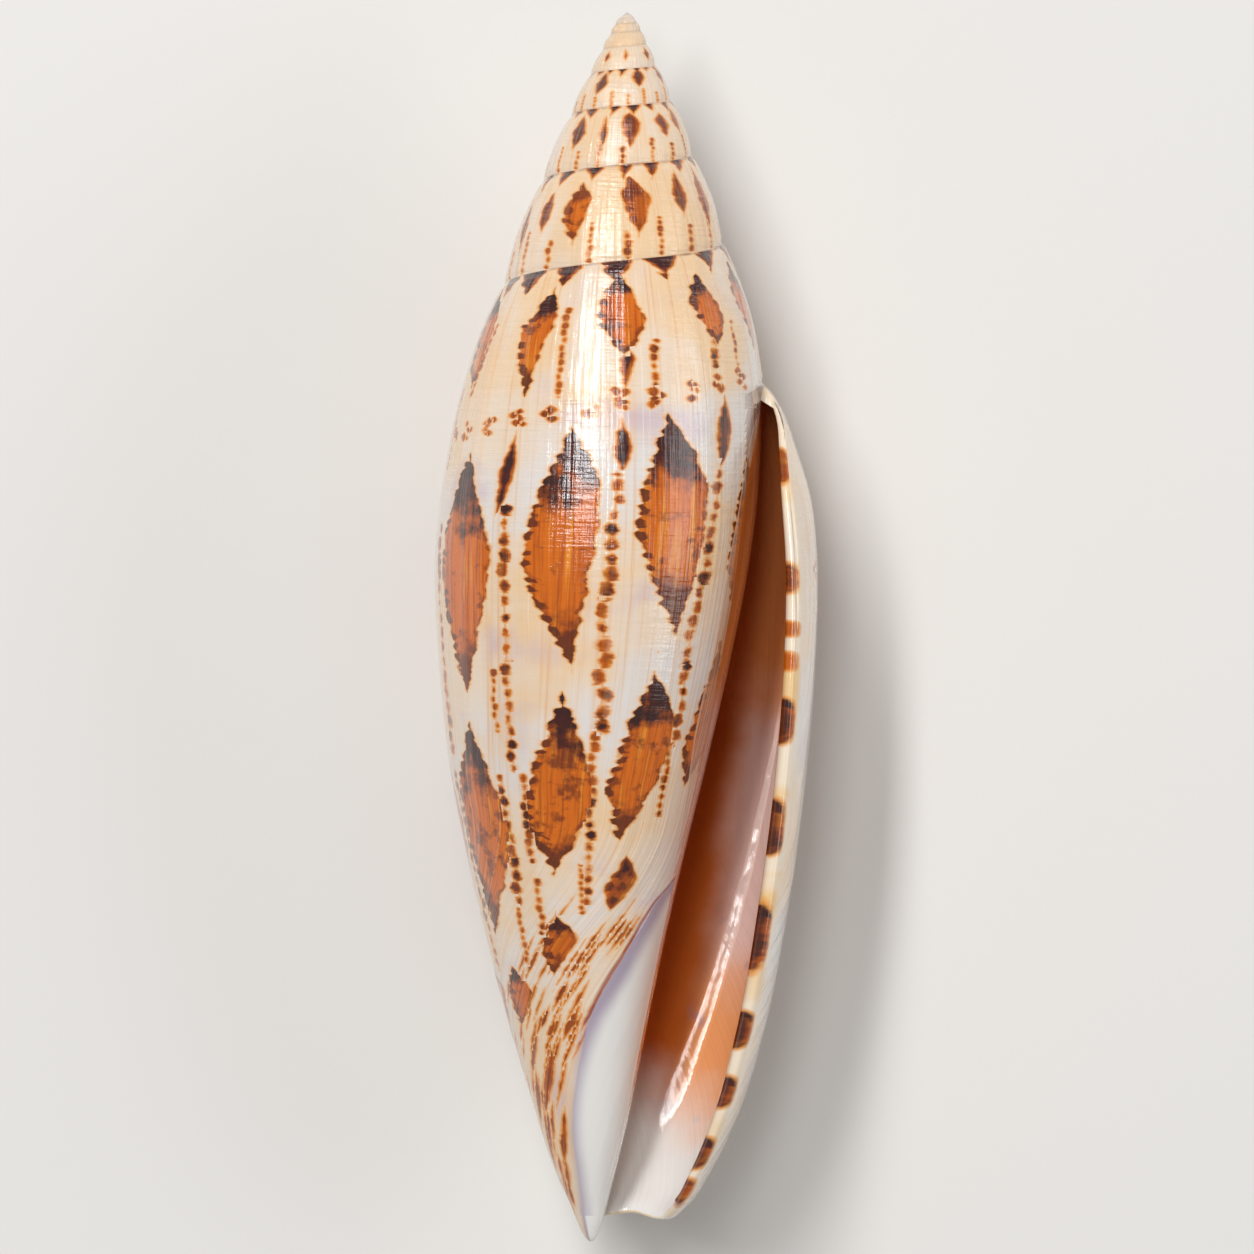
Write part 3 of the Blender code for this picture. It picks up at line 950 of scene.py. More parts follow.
@dataclass
class SkinPainter:
    """Writes what the finish and the relief read: places, the nearest mark and the kind of surface."""

    spiral: Spiral
    plan: SkinPlan
    marks: list[Mark]
    rim_width: float = 1.5
    lip_reach: float = 9.0
    lip_zone: float = 1.1
    degree: float = 0.19
    callus_edge: Table = (
        (46.0, -30), (52.0, -8), (55.5, 20), (56.6, 34), (57.5, 46), (58.8, 56), (60.3, 66), (62.5, 80),
        (65.4, 97), (68.7, 108), (72.1, 120), (75.4, 124), (78.3, 128),
    )
    glaze_edge: Table = (
        (24.0, -12), (26.0, 14), (29.3, 28), (32.2, 32), (35.4, 36), (38.9, 38), (42.4, 39), (46.8, 41),
        (51.1, 38), (56.6, 33),
    )

    def __post_init__(self) -> None:
        """Work out each corner's kind, turn, level, mm for a degree and way over the lip."""
        plan, spiral = self.plan, self.spiral
        arc = spiral.radius(plan.turn, plan.level) * math.pi / 180
        self.kind = plan.skin[plan.owner()]
        short = np.minimum(np.maximum(spiral.lip_turn - plan.turn, 0) * arc, self.lip_reach)
        over = np.where(self.kind == Skin.RIM.value, plan.over, -short)
        over = np.where(self.kind == Skin.HOLLOW.value, self.rim_width + short, over)
        self.places = np.stack((plan.turn, plan.level, arc, over))

    def reach(self, mark: Mark, places: np.ndarray) -> tuple[np.ndarray, np.ndarray]:
        """How far places are from a mark.

        Args:
            mark: The mark.
            places: Their turns, levels, mm for a degree and ways over the lip.

        Returns:
            Mm to the left of its middle line, and the part of its half height below its middle.
        """
        turn, level, arc, over = places
        down = level - mark.level
        across = over - mark.turn if mark.shape is Shape.LIP else (turn - mark.turn) * arc
        return across + mark.lean * down, down / mark.tall

    @staticmethod
    def distance(mark: Mark, across: np.ndarray, down: np.ndarray) -> np.ndarray:
        """How far places are from a mark's plain outline.

        Args:
            mark: The mark.
            across: Mm to the left of its middle line.
            down: The part of its half height below its middle.

        Returns:
            Mm outside it, less than 0 inside.
        """
        if mark.shape is Shape.CHAIN:
            return np.maximum(abs(across) - mark.left, (abs(down) - 1) * mark.tall)
        left = across > 0
        wide = np.where(left, mark.left, mark.right)
        belly = np.where(left, mark.left_belly, mark.right_belly)
        slope = abs(down - belly) / np.where(down < belly, 1 + belly, 1 - belly)
        return (abs(across) / wide + slope**mark.shape.value - 1) * np.minimum(wide, mark.tall)

    def nearest(self) -> np.ndarray:
        """The number of the mark that reaches nearest to each face.

        Returns:
            One number for each face.
        """
        skin = self.plan.skin
        places = np.stack([self.plan.middle(part) for part in self.places])
        by_lip = np.isin(skin, (Skin.RIM.value, Skin.HOLLOW.value, Skin.PILLAR.value))
        by_lip |= (skin == Skin.OUTSIDE.value) & (places[3] > -self.lip_zone)
        best, found = np.full(len(skin), 1e9), np.zeros(len(skin), int)
        for number, mark in enumerate(self.marks):
            beside = abs(places[1] - mark.level) < mark.tall * 1.4 + 3
            near = np.flatnonzero(beside & ((mark.shape is Shape.LIP) == by_lip))
            far = self.distance(mark, *self.reach(mark, places[:, near]))
            closer = far < best[near]
            best[near[closer]] = far[closer]
            found[near[closer]] = number
        return found

    def mark_facts(self) -> tuple[np.ndarray, np.ndarray]:
        """What each corner knows of the mark nearest to its face.

        Returns:
            How far it is from the mark across and down, and the mark's own facts.
        """
        mark = self.nearest()[self.plan.owner()]
        reach = np.zeros((2, len(mark)))
        for number in np.unique(mark):
            here = mark == number
            reach[:, here] = self.reach(self.marks[number], self.places[:, here])
        facts = [(m.left, m.right, m.tall, m.dark, m.left_belly, m.right_belly, m.shape.value, at * 0.618 % 1)
                 for at, m in enumerate(self.marks)]
        return reach, np.array(facts)[mark].T

    def coats(self) -> Grid:
        """Where the coats near the opening are.

        Returns:
            Mm inside the callus, inside the glaze and past the ledge in the hollow.
        """
        kind = self.kind
        turn, level, arc, _ = self.places
        front = (kind == Skin.OUTSIDE.value) & (turn > 0) & (turn < self.spiral.join_turn)
        edge = read(self.callus_edge, level)
        callus = np.where(front, (edge - turn) * arc, -3)
        callus = np.where(kind == Skin.TIP.value, (edge - turn % 360) * 0.06, callus)
        callus = np.where((kind == Skin.PILLAR.value) & (level > 55), 3, callus)
        glaze = np.where(front & (level > 23.8), (read(self.glaze_edge, level) - turn) * arc, -3)
        ledge = 337 - 0.75 * (level - 47.4)
        bend = np.where(kind == Skin.HOLLOW.value, (turn - ledge) * arc, 9)
        return np.clip(callus, -3, 3), np.clip(glaze, -3, 3), np.clip(bend, -9, 9)

    def paint(self, mesh: bpy.types.Mesh) -> None:
        """Write the attributes on a mesh.

        Args:
            mesh: The mesh, with its corners as the plan has them.
        """
        spiral = self.spiral
        turn, level, _, over = self.places
        reach, facts = self.mark_facts()
        outside = self.kind == Skin.OUTSIDE.value
        growth = (turn - read(spiral.growth_lean, level)) * self.degree
        below = level - spiral.suture_level(turn)
        early = outside & (turn < spiral.lip_turn - 360)
        above = np.where(early, spiral.suture_level(turn + 360) - level, 9)
        hollow = np.isin(self.kind, (Skin.HOLLOW.value, Skin.PILLAR.value)).astype(float)
        self.uv(mesh, "place", spiral.along(turn), level)
        self.uv(mesh, "growth", growth, level)
        self.uv(mesh, "mark", *reach)
        self.uv(mesh, "seam", below, above)
        self.colour(mesh, "mark_size", *facts[:4])
        self.colour(mesh, "mark_form", *facts[4:])
        self.colour(mesh, "parts", hollow, turn, level, over)
        self.colour(mesh, "coats", *self.coats())
        self.point(mesh, "below", below)
        self.point(mesh, "above", above)
        self.point(mesh, "growth_line", growth)
        self.point(mesh, "outer", outside * np.clip((-over - 0.3) / 2, 0, 1))

    @staticmethod
    def point(mesh: bpy.types.Mesh, name: str, values: np.ndarray) -> None:
        """Write one number for each point, the least of its corners'.

        Args:
            mesh: The mesh.
            name: The attribute's name.
            values: A number for each corner.
        """
        corners = np.empty(len(mesh.loops), int)
        mesh.loops.foreach_get("vertex_index", corners)
        least = np.full(len(mesh.vertices), 1e9)
        np.minimum.at(least, corners, values)
        least[least > 1e8] = 0
        layer = mesh.attributes.new(name=name, type="FLOAT", domain="POINT")
        layer.data.foreach_set("value", least.astype(np.float32))

    @staticmethod
    def uv(mesh: bpy.types.Mesh, name: str, across: np.ndarray, down: np.ndarray) -> None:
        """Write a UV map."""
        layer = mesh.uv_layers.new(name=name, do_init=False)
        layer.data.foreach_set("uv", np.stack((across, down), -1).astype(np.float32).ravel())

    @staticmethod
    def colour(mesh: bpy.types.Mesh, name: str, *channels: np.ndarray) -> None:
        """Write three or four numbers for each corner.

        Args:
            mesh: The mesh.
            name: The attribute's name.
            *channels: The numbers.
        """
        layer = mesh.color_attributes.new(name=name, type="FLOAT_COLOR", domain="CORNER")
        filled = np.stack((*channels, np.ones(len(channels[0])))[:4], -1)
        layer.data.foreach_set("color", filled.astype(np.float32).ravel())


def feed(tree: bpy.types.NodeTree, socket: bpy.types.NodeSocket, value: object) -> None:
    """Join a socket to a flow or another socket, or set its number."""
    wire = value.wire if isinstance(value, Flow) else value
    if isinstance(wire, bpy.types.NodeSocket):
        tree.links.new(wire, socket)
    else:
        socket.default_value = wire


def add_node(tree: bpy.types.NodeTree, kind: str, inputs: dict | None = None, **settings: object
             ) -> bpy.types.Node:
    """Add a node to a tree.

    Args:
        tree: The tree.
        kind: The node's type.
        inputs: What goes into its inputs, by name or number.
        **settings: Its settings.

    Returns:
        The node, with its inputs joined or filled.
    """
    made = tree.nodes.new(kind)
    for name, value in settings.items():
        setattr(made, name, value)
    for key, value in (inputs or {}).items():
        feed(tree, made.inputs[key], value)
    return made


class Flow:
    """A number, place or colour that runs through a node tree, with the sums done on it."""

    def __init__(self, tree: bpy.types.NodeTree, wire: bpy.types.NodeSocket) -> None:
        """Keep the socket that it comes out of, and the tree."""
        self.tree = tree
        self.wire = wire

    def through(self, kind: str, inputs: dict, out: int = 0, **settings: object) -> "Flow":
        """What comes out of a new node.

        Args:
            kind: The node's type.
            inputs: What goes into it.
            out: The number of the output.
            **settings: The node's settings.

        Returns:
            The flow from that output.
        """
        return Flow(self.tree, add_node(self.tree, kind, inputs, **settings).outputs[out])

    def math(self, operation: str, *others: object) -> "Flow":
        """A Math node's result."""
        return self.through("ShaderNodeMath", dict(enumerate((self, *others))), operation=operation)

    def __add__(self, other: object) -> "Flow":
        """A sum."""
        return self.math("ADD", other)

    def __sub__(self, other: object) -> "Flow":
        """A difference."""
        return self.math("SUBTRACT", other)

    def __rsub__(self, other: float) -> "Flow":
        """A number less this one."""
        return self.through("ShaderNodeMath", {0: other, 1: self}, operation="SUBTRACT")

    def __mul__(self, other: object) -> "Flow":
        """A product."""
        return self.math("MULTIPLY", other)

    def __truediv__(self, other: object) -> "Flow":
        """A part."""
        return self.math("DIVIDE", other)

    def __pow__(self, other: object) -> "Flow":
        """A power."""
        return self.math("POWER", other)

    def __abs__(self) -> "Flow":
        """The size without its sign."""
        return self.math("ABSOLUTE")

    def over(self, limit: float) -> "Flow":
        """1 above a limit, and 0 below."""
        return self.math("GREATER_THAN", limit)

    def under(self, limit: float) -> "Flow":
        """1 below a limit, and 0 above."""
        return self.math("LESS_THAN", limit)

    def least(self, other: object) -> "Flow":
        """The smaller of two."""
        return self.math("MINIMUM", other)

    def most(self, *others: object) -> "Flow":
        """The largest."""
        found = self
        for other in others:
            found = found.math("MAXIMUM", other)
        return found

    def pick(self, first: object, second: object) -> "Flow":
        """A number between two others, by this share."""
        return self.through("ShaderNodeMix", {0: self, 2: first, 3: second})

    def tint(self, first: object, second: object) -> "Flow":
        """A colour between two others, by this share."""
        return self.through("ShaderNodeMix", {0: self, 6: first, 7: second}, 2, data_type="RGBA")

    def ramp(self, low: object, high: object, first: float = 0.0, last: float = 1.0, kind: str = "SMOOTHSTEP"
             ) -> "Flow":
        """Move this number from one range to another, held at the ends.

        Args:
            low: Where the first range starts.
            high: Where it ends.
            first: Where the second range starts.
            last: Where it ends.
            kind: How it goes between them.

        Returns:
            The moved number.
        """
        inputs = {"Value": self, "From Min": low, "From Max": high, "To Min": first, "To Max": last}
        return self.through("ShaderNodeMapRange", inputs, interpolation_type=kind)

    def noise(self, across: float, down: float, detail: float = 2.0, rough: float = 0.5,
              shift: tuple[float, float] = (0.0, 0.0)) -> "Flow":
        """Noise at this place, centred on 0.

        Args:
            across: Lumps for each mm around the shell.
            down: Lumps for each mm along it.
            detail: How many finer layers it has.
            rough: How strong those are.
            shift: How far the place is moved first.

        Returns:
            The noise.
        """
        inputs = {"Vector": self, "Location": (*shift, 0.0), "Scale": (across, down, 1.0)}
        inputs = {"Vector": self.through("ShaderNodeMapping", inputs), "Scale": 1.0, "Detail": detail,
                  "Roughness": rough}
        return self.through("ShaderNodeTexNoise", inputs) - 0.5

    def chance(self, other: object) -> "Flow":
        """A random number for this number and another."""
        both = self.through("ShaderNodeCombineXYZ", {0: self, 1: other})
        return both.through("ShaderNodeTexWhiteNoise", {"Vector": both}, noise_dimensions="3D")

    def split(self) -> list["Flow"]:
        """The three parts of a place or a colour."""
        made = add_node(self.tree, "ShaderNodeSeparateXYZ", {0: self})
        return [Flow(self.tree, wire) for wire in made.outputs]


@dataclass
class Relief:
    """Geometry nodes that press the growth folds and the sutures into the outside of the shell."""

    fold_height: float = 0.05
    fold_spacing: float = 2.3
    swell_height: float = 0.05
    swell_scale: float = 160.0
    suture_depth: float = 0.1
    suture_width: float = 0.3
    seed: float = 4.0

    def inputs(self) -> dict[str, float]:
        """The tree's inputs, by name."""
        return {"Fold Height": self.fold_height, "Fold Spacing": self.fold_spacing,
                "Swell Height": self.swell_height, "Suture Depth": self.suture_depth,
                "Suture Width": self.suture_width, "Seed": self.seed}

    def depth(self, tree: bpy.types.NodeTree, given: dict[str, Flow]) -> Flow:
        """How far each point goes in.

        Args:
            tree: The tree.
            given: The tree's inputs.

        Returns:
            The depth in mm.
        """
        below, above, line, outer = (
            Flow(tree, add_node(tree, "GeometryNodeInputNamedAttribute", {"Name": name},
                                data_type="FLOAT").outputs[0])
            for name in ("below", "above", "growth_line", "outer"))
        where = add_node(tree, "GeometryNodeInputPosition").outputs[0]
        along = line / given["Fold Spacing"] + given["Seed"]
        folds = line.through("ShaderNodeTexNoise", {"W": along, "Scale": 1.0, "Detail": 2.0},
                             noise_dimensions="1D")
        swell = line.through("ShaderNodeTexNoise", {"Vector": where, "W": given["Seed"],
                                                    "Scale": self.swell_scale, "Detail": 2.0},
                             noise_dimensions="4D")
        seam = below.least(above)
        near = seam / given["Suture Width"]
        groove = (near * near * -1.0).math("EXPONENT")
        clear = seam.ramp(0.1, 1.4)
        size = below.ramp(0.0, 6.0, 0.25, 1.0)
        depth = folds * given["Fold Height"] * clear * size + swell * given["Swell Height"] * clear * size
        return (depth + groove * given["Suture Depth"] * (below + above).ramp(0.3, 6.0, 0.2, 1.0)) * outer

    def tree(self, finish: bpy.types.Material) -> tuple[bpy.types.NodeTree, dict[str, str]]:
        """Build the tree.

        Args:
            finish: The material that it sets.

        Returns:
            The tree, and the identifiers of its inputs by name.
        """
        tree = bpy.data.node_groups.new("shell_relief", "GeometryNodeTree")
        sockets = tree.interface
        sockets.new_socket("Geometry", in_out="INPUT", socket_type="NodeSocketGeometry")
        known = {name: sockets.new_socket(name, in_out="INPUT", socket_type="NodeSocketFloat").identifier
                 for name in self.inputs()}
        sockets.new_socket("Geometry", in_out="OUTPUT", socket_type="NodeSocketGeometry")
        outputs = add_node(tree, "NodeGroupInput").outputs
        given = {name: Flow(tree, outputs[name]) for name in ("Geometry", *known)}
        normal = Flow(tree, add_node(tree, "GeometryNodeInputNormal").outputs[0])
        inward = self.depth(tree, given) * -MM
        offset = normal.through("ShaderNodeVectorMath", {0: normal, 3: inward}, operation="SCALE")
        pressed = offset.through("GeometryNodeSetPosition", {"Geometry": given["Geometry"], "Offset": offset})
        solid = pressed.through("GeometryNodeRealizeInstances", {"Geometry": pressed})
        dressed = solid.through("GeometryNodeSetMaterial", {"Geometry": solid, "Material": finish})
        add_node(tree, "NodeGroupOutput", {"Geometry": dressed})
        return tree, known

    def press(self, piece: bpy.types.Object, finish: bpy.types.Material) -> bpy.types.Object:
        """Run the tree on a piece.

        Args:
            piece: The smooth piece.
            finish: The material that it gets.

        Returns:
            A plain object with the relief in its mesh.
        """
        tree, known = self.tree(finish)
        bpy.context.scene.collection.objects.link(piece)
        layer = piece.modifiers.new("relief", "NODES")
        layer.node_group = tree
        for name, size in self.inputs().items():
            layer[known[name]] = size
        ready = piece.evaluated_get(bpy.context.evaluated_depsgraph_get())
        mesh = bpy.data.meshes.new_from_object(ready)
        bpy.data.objects.remove(piece)
        made = bpy.data.objects.new("mitre_shell", mesh)
        bpy.context.scene.collection.objects.link(made)
        return made


def srgb(red: float, green: float, blue: float) -> Colour:
    """A colour given in screen values from 0 to 255."""
    channels = [value / 255 for value in (red, green, blue)]
    return (*[c / 12.92 if c <= 0.04045 else ((c + 0.055) / 1.055) ** 2.4 for c in channels], 1.0)


@dataclass(frozen=True)
class SkinFacts:
    """What the finish reads at each place, as SkinPainter wrote it."""

    place: Flow
    growth: Flow
    across: Flow
    down: Flow
    below: Flow
    above: Flow
    left: Flow
    right: Flow
    tall: Flow
    darkness: Flow
    left_belly: Flow
    right_belly: Flow
    shape: Flow
    seed: Flow
    hollow: Flow
    turn: Flow
    level: Flow
    over: Flow
    callus_depth: Flow
    glaze_depth: Flow
    bend: Flow

    @classmethod
    def read(cls, tree: bpy.types.NodeTree) -> "SkinFacts":
        """Join the attributes.

        Args:
            tree: The finish's tree.

        Returns:
            A flow for each fact.
        """
        place, growth, mark, seam = (Flow(tree, add_node(tree, "ShaderNodeUVMap", uv_map=name).outputs[0])
                                     for name in ("place", "growth", "mark", "seam"))
        facts = [place, growth, *mark.split()[:2], *seam.split()[:2]]
        for name in ("mark_size", "mark_form", "parts"):
            given = add_node(tree, "ShaderNodeAttribute", attribute_name=name).outputs
            facts += [*Flow(tree, given["Color"]).split(), Flow(tree, given["Alpha"])]
        coats = add_node(tree, "ShaderNodeAttribute", attribute_name="coats").outputs["Color"]
        return cls(*facts, *Flow(tree, coats).split())


@dataclass(frozen=True)
class MarkEdge:
    """Where a place lies in the nearest mark: mm inside, its side, the noise there and the kind."""

    depth: Flow
    line: Flow
    left: Flow
    tooth: Flow
    fine: Flow
    coarse: Flow
    chain: Flow
    lip: Flow


@dataclass(frozen=True)
class ShellFinish:
    """Glossy shell: cream with burnt-orange spots outside, brown and mauve inside."""

    cream: Colour = srgb(234, 213, 191)
    straw: Colour = srgb(237, 202, 160)
    sand: Colour = srgb(238, 192, 138)
    milk: Colour = srgb(226, 220, 216)
    lilac: Colour = srgb(204, 182, 192)
    tan_line: Colour = srgb(226, 168, 114)
    pale_line: Colour = srgb(252, 244, 230)
    # brown of the suture line, which also stands in as painted shade in the suture's groove
    suture: Colour = srgb(120, 66, 36)
    orange: Colour = srgb(214, 106, 2)
    amber: Colour = srgb(230, 146, 40)
    rust: Colour = srgb(152, 58, 3)
    brown: Colour = srgb(88, 24, 6)
    dark: Colour = srgb(54, 17, 10)
    pearl: Colour = srgb(244, 228, 205)
    honey: Colour = srgb(240, 198, 130)
    glaze: Colour = srgb(204, 140, 92)
    glaze_light: Colour = srgb(236, 206, 184)
    glaze_edge: Colour = srgb(250, 234, 214)
    callus: Colour = srgb(234, 231, 226)
    # grey-lilac painted shade for the shallow groove along the callus edge
    shade: Colour = srgb(172, 158, 174)
    # the next four inside colours are lightened: painted light that stands in for light shining through the
    # thin wall
    inner_orange: Colour = srgb(232, 152, 88)
    inner_brown: Colour = srgb(208, 112, 44)
    inner_mauve: Colour = srgb(240, 208, 196)
    inner_peach: Colour = srgb(242, 166, 108)
    inner_smudge: Colour = srgb(176, 140, 158)
    inner_edge: Colour = srgb(244, 232, 214)
    ior: float = 1.47
    coat: float = 0.9
    line_height: float = 0.035
    fold_height: float = 0.1
    rib_height: float = 0.16
    callus_height: float = 0.05

    def make(self) -> bpy.types.Material:
        """Build the material.

        Returns:
            The material.
        """
        material = bpy.data.materials.new("patterned_shell")
        material.use_nodes = True
        tree = material.node_tree
        skin = SkinFacts.read(tree)
        hollow = skin.hollow
        marked = self.spots(skin, hollow.tint(self.lip_band(skin, self.ground(skin)), self.inside(skin)))
        gloss = skin.callus_depth.ramp(-0.2, 0.2, 0.16, 0.13) * hollow.pick(1.0, 0.75)
        bump = self.relief(skin)
        inputs = {
            "Base Color": hollow.tint(self.coats(skin, marked), marked),
            "Roughness": gloss + skin.place.noise(0.8, 0.8) * 0.12,
            "IOR": self.ior,
            "Coat Weight": self.coat,
            "Coat Roughness": hollow.pick(0.04, 0.1),
            "Normal": bump,
            "Coat Normal": bump,
        }
        for name, value in inputs.items():
            feed(tree, tree.nodes["Principled BSDF"].inputs[name], value)
        return material

    def ground(self, skin: SkinFacts) -> Flow:
        """Cream, with straw and milky bands, lilac clouds, fine growth lines and a dark suture line, partly
        its own brown and partly painted shade in the suture's groove.

        Args:
            skin: What is known of each place.

        Returns:
            The colour.
        """
        place, growth, level = skin.place, skin.growth, skin.level
        climb = (skin.turn - 108.0) * skin.turn.ramp(0.0, 1.0, 0.0, -0.05, "LINEAR")
        row = level + climb + place.noise(0.3, 0.16, 3) * 9.0
        pale = (row.ramp(26.0, 30.0) * row.ramp(37.0, 32.0)).most(
            row.ramp(42.0, 46.0) * row.ramp(53.0, 48.0), row.ramp(57.0, 59.0) * row.ramp(65.0, 61.0) * 0.7)
        clouds = place.noise(0.34, 0.12, 3, 0.55, (7, 3))
        base = clouds.ramp(-0.08, 0.12).tint(self.cream, self.straw)
        base = (pale * clouds.ramp(0.24, 0.0) * 0.9).tint(base, self.milk)
        warm = growth.noise(0.5, 0.05, 3, 0.6, (21, 5)).ramp(0.0, 0.2) * level.ramp(34.0, 22.0, 0.22, 0.48)
        base = warm.tint(base, self.sand)
        haze = place.noise(0.3, 0.14, 3, 0.5, (40, 11)).ramp(0.04, 0.2) * level.ramp(12.0, 26.0) * 0.75
        base = haze.tint(base, self.lilac)
        base = growth.noise(2.4, 0.035, 4, 0.6).ramp(0.02, 0.2, 0, 0.6).tint(base, self.tan_line)
        base = growth.noise(5.0, 0.06, 3, 0.6, (3, 8)).ramp(0.1, 0.22, 0, 0.5).tint(base, self.pale_line)
        # darker along each suture: a brown line, partly real colour and partly painted shade in the groove
        seam = skin.above.least(skin.below).ramp(0.02, 0.13, 0.75, 0) * level.ramp(4.5, 8.0, 0.25, 1.0)
        return (seam * place.noise(0.8, 0.1).ramp(-0.1, 0.1, 0.35, 1)).tint(base, self.suture)

    def spot_depth(self, skin: SkinFacts) -> tuple[Flow, Flow]:
        """How far a place is inside the nearest spot.

        Args:
            skin: What is known of each place.

        Returns:
            Mm inside its plain outline, and 1 on its left side.
        """
        left = skin.across.over(0.0)
        wide = left.pick(skin.right, skin.left)
        belly = left.pick(skin.right_belly, skin.left_belly)
        part = skin.down - belly
        span = 1.0 - belly + part.under(0.0) * belly * 2.0
        rise = (abs(part) / span) ** skin.shape
        lump = (abs(skin.across) / wide) ** skin.shape.ramp(2.4, 2.6, 1.0, 2.5, "LINEAR")
        return (1.0 - rise - lump) * (wide.least(skin.tall) * 0.85), left

    def chain_depth(self, skin: SkinFacts) -> tuple[Flow, Flow]:
        """How far a place is inside a bead of a chain.

        Args:
            skin: What is known of each place.

        Returns:
            Mm inside the beads, and inside the thin line that joins them.
        """
        pitch = skin.left * 2.0 + 0.08
        count = (skin.level + skin.seed * 7.0) / pitch
        cell = count.math("FLOOR")
        off = (count - cell - 0.5) * pitch
        size = skin.left * cell.chance(skin.seed).ramp(0.0, 1.0, 0.5, 1.05, "LINEAR")
        side = skin.across - (skin.seed.chance(cell) - 0.5) * skin.left
        far = (side * side + off * off * 0.8).math("SQRT")
        line = skin.left * 0.16 - abs(skin.across)
        end = (abs(skin.down) - 1.0).most(0.0) * skin.tall * 2.0
        return size - far - end, line - end

    def mark_edge(self, skin: SkinFacts) -> MarkEdge:
        """The ragged outline of the nearest mark.

        Args:
            skin: What is known of each place.

        Returns:
            Where the place lies in it.
        """
        plain, left = self.spot_depth(skin)
        bead, line = self.chain_depth(skin)
        chain = skin.shape.over(4.0)
        lip = skin.shape.over(2.5) * (1.0 - chain)
        large = skin.left.least(skin.tall).ramp(0.3, 1.6, 0.25, 1.0, "LINEAR") * (1.0 - lip * 0.6)
        fine = skin.place.noise(2.6, 2.2, 2, 0.6)
        coarse = skin.place.noise(0.9, 0.75, 2, 0.5, (7, 3))
        count = skin.level * 1.12 + coarse * 2.4 + skin.seed * 5.0
        tooth = (count.math("PINGPONG", 0.5) * 2.0).ramp(0.0, 0.8, -0.6, 0.4)
        ragged = (tooth * left.pick(0.07, 0.26) + fine * 0.4 + coarse * 0.9) * large * lip.pick(1.0, 3.0)
        rough_bead = fine * skin.left * 1.5 + coarse * skin.left * 1.2
        depth = chain.pick(plain + ragged, bead + rough_bead)
        return MarkEdge(depth, line, left, tooth, fine, coarse, chain, lip)

    def spots(self, skin: SkinFacts, ground: Flow) -> Flow:
        """Draw the nearest mark on each face.

        Args:
            skin: What is known of each place.
            ground: The colour under the marks.

        Returns:
            The colour.
        """
        edge = self.mark_edge(skin)
        depth, growth = edge.depth, skin.growth
        soft = edge.lip.pick(0.06, 0.3)
        ink = depth.ramp(soft * -1.0, soft)
        thread = edge.line.ramp(-0.06, 0.05) * edge.chain * 0.8
        rim_glow = depth.ramp(soft * -3.2, soft * -0.3).most(thread)
        shade = self.spot_shade(skin, edge)
        fill = growth.noise(3.4, 0.12, 4, 0.65, (3, 9)).ramp(-0.06, 0.16, 0, 0.7).tint(self.orange, self.rust)
        fill = growth.noise(1.6, 0.1, 3, 0.6, (13, 9)).ramp(0.03, 0.16, 0, 0.75).tint(fill, self.amber)
        tone = (shade + edge.fine * 0.8 + edge.coarse).ramp(0.6, 1.15).tint(self.brown, self.dark)
        glow = (depth.ramp(-0.6, -0.05) * 0.45).tint(ground, self.straw)
        glow = (rim_glow * 0.85).tint(glow, self.amber)
        return ink.tint(glow, shade.tint(fill, tone))

    def spot_shade(self, skin: SkinFacts, mark: MarkEdge) -> Flow:
        """How dark each place in a mark is.

        Args:
            skin: What is known of each place.
            mark: Where it lies in the mark.

        Returns:
            0 for plain orange up to 1 for the darkest brown.
        """
        depth, tooth, left = mark.depth, mark.tooth, mark.left
        blotch = skin.place.noise(0.75, 0.4, 4, 0.62, (19, 2))
        speck = skin.place.noise(1.5, 0.75, 3, 0.6, (5, 31))
        wobble = skin.down + blotch * 1.3 + skin.growth.noise(1.7, 0.16) * 0.45
        top = wobble.ramp(-0.3, -0.62) * skin.darkness.ramp(0.1, 0.5)
        foot = (skin.down + blotch * 1.1).ramp(0.5, 0.75) * 0.85
        band = left.pick(tooth.ramp(-0.3, 0.4, 0.12, 0.34), tooth.ramp(-0.2, 0.4, 0.14, 0.72))
        edge = (depth + blotch * 1.3).ramp(band, band - 0.25) * left.pick(0.62, 0.85)
        specks = (speck + skin.level.ramp(44.0, 50.0, 0, 0.075)).ramp(0.06, 0.2) * 0.7
        small = (depth + mark.coarse * 0.3).ramp(0.0, skin.left * 0.5, 0.3, 1.0)
        size = skin.left.least(skin.tall).ramp(0.5, 0.95, 0, 1, "LINEAR")
        shade = size.pick(small, top.most(foot, edge, specks))
        wedge = skin.shape.under(1.2) * depth.ramp(0.02, 0.3, 0.4, 1.0)
        lip = mark.lip * depth.ramp(0.0, 0.9, 0.12, 0.95)
        uneven = mark.chain.pick(1.0, (blotch * 1.5 + mark.coarse).ramp(-0.2, 0.22, 0.42, 1.0))
        return shade.most(wedge, lip) * skin.darkness.ramp(0.0, 0.55, 0.35, 1.0, "LINEAR") * uneven

    def lip_band(self, skin: SkinFacts, ground: Flow) -> Flow:
        """Pearl and honey along the edge of the lip.

        Args:
            skin: What is known of each place.
            ground: The colour of the rest.

        Returns:
            The colour.
        """
        patch = skin.place.noise(0.2, 0.28, 2, 0.5, (3, 0)).ramp(-0.02, 0.12)
        middle = skin.level.ramp(36.0, 44.0) * skin.level.ramp(66.0, 58.0)
        band = (patch * middle.pick(0.45, 1.0)).tint(self.pearl, self.honey)
        return (skin.over.ramp(-1.4, -0.3) * 0.85).tint(ground, band)

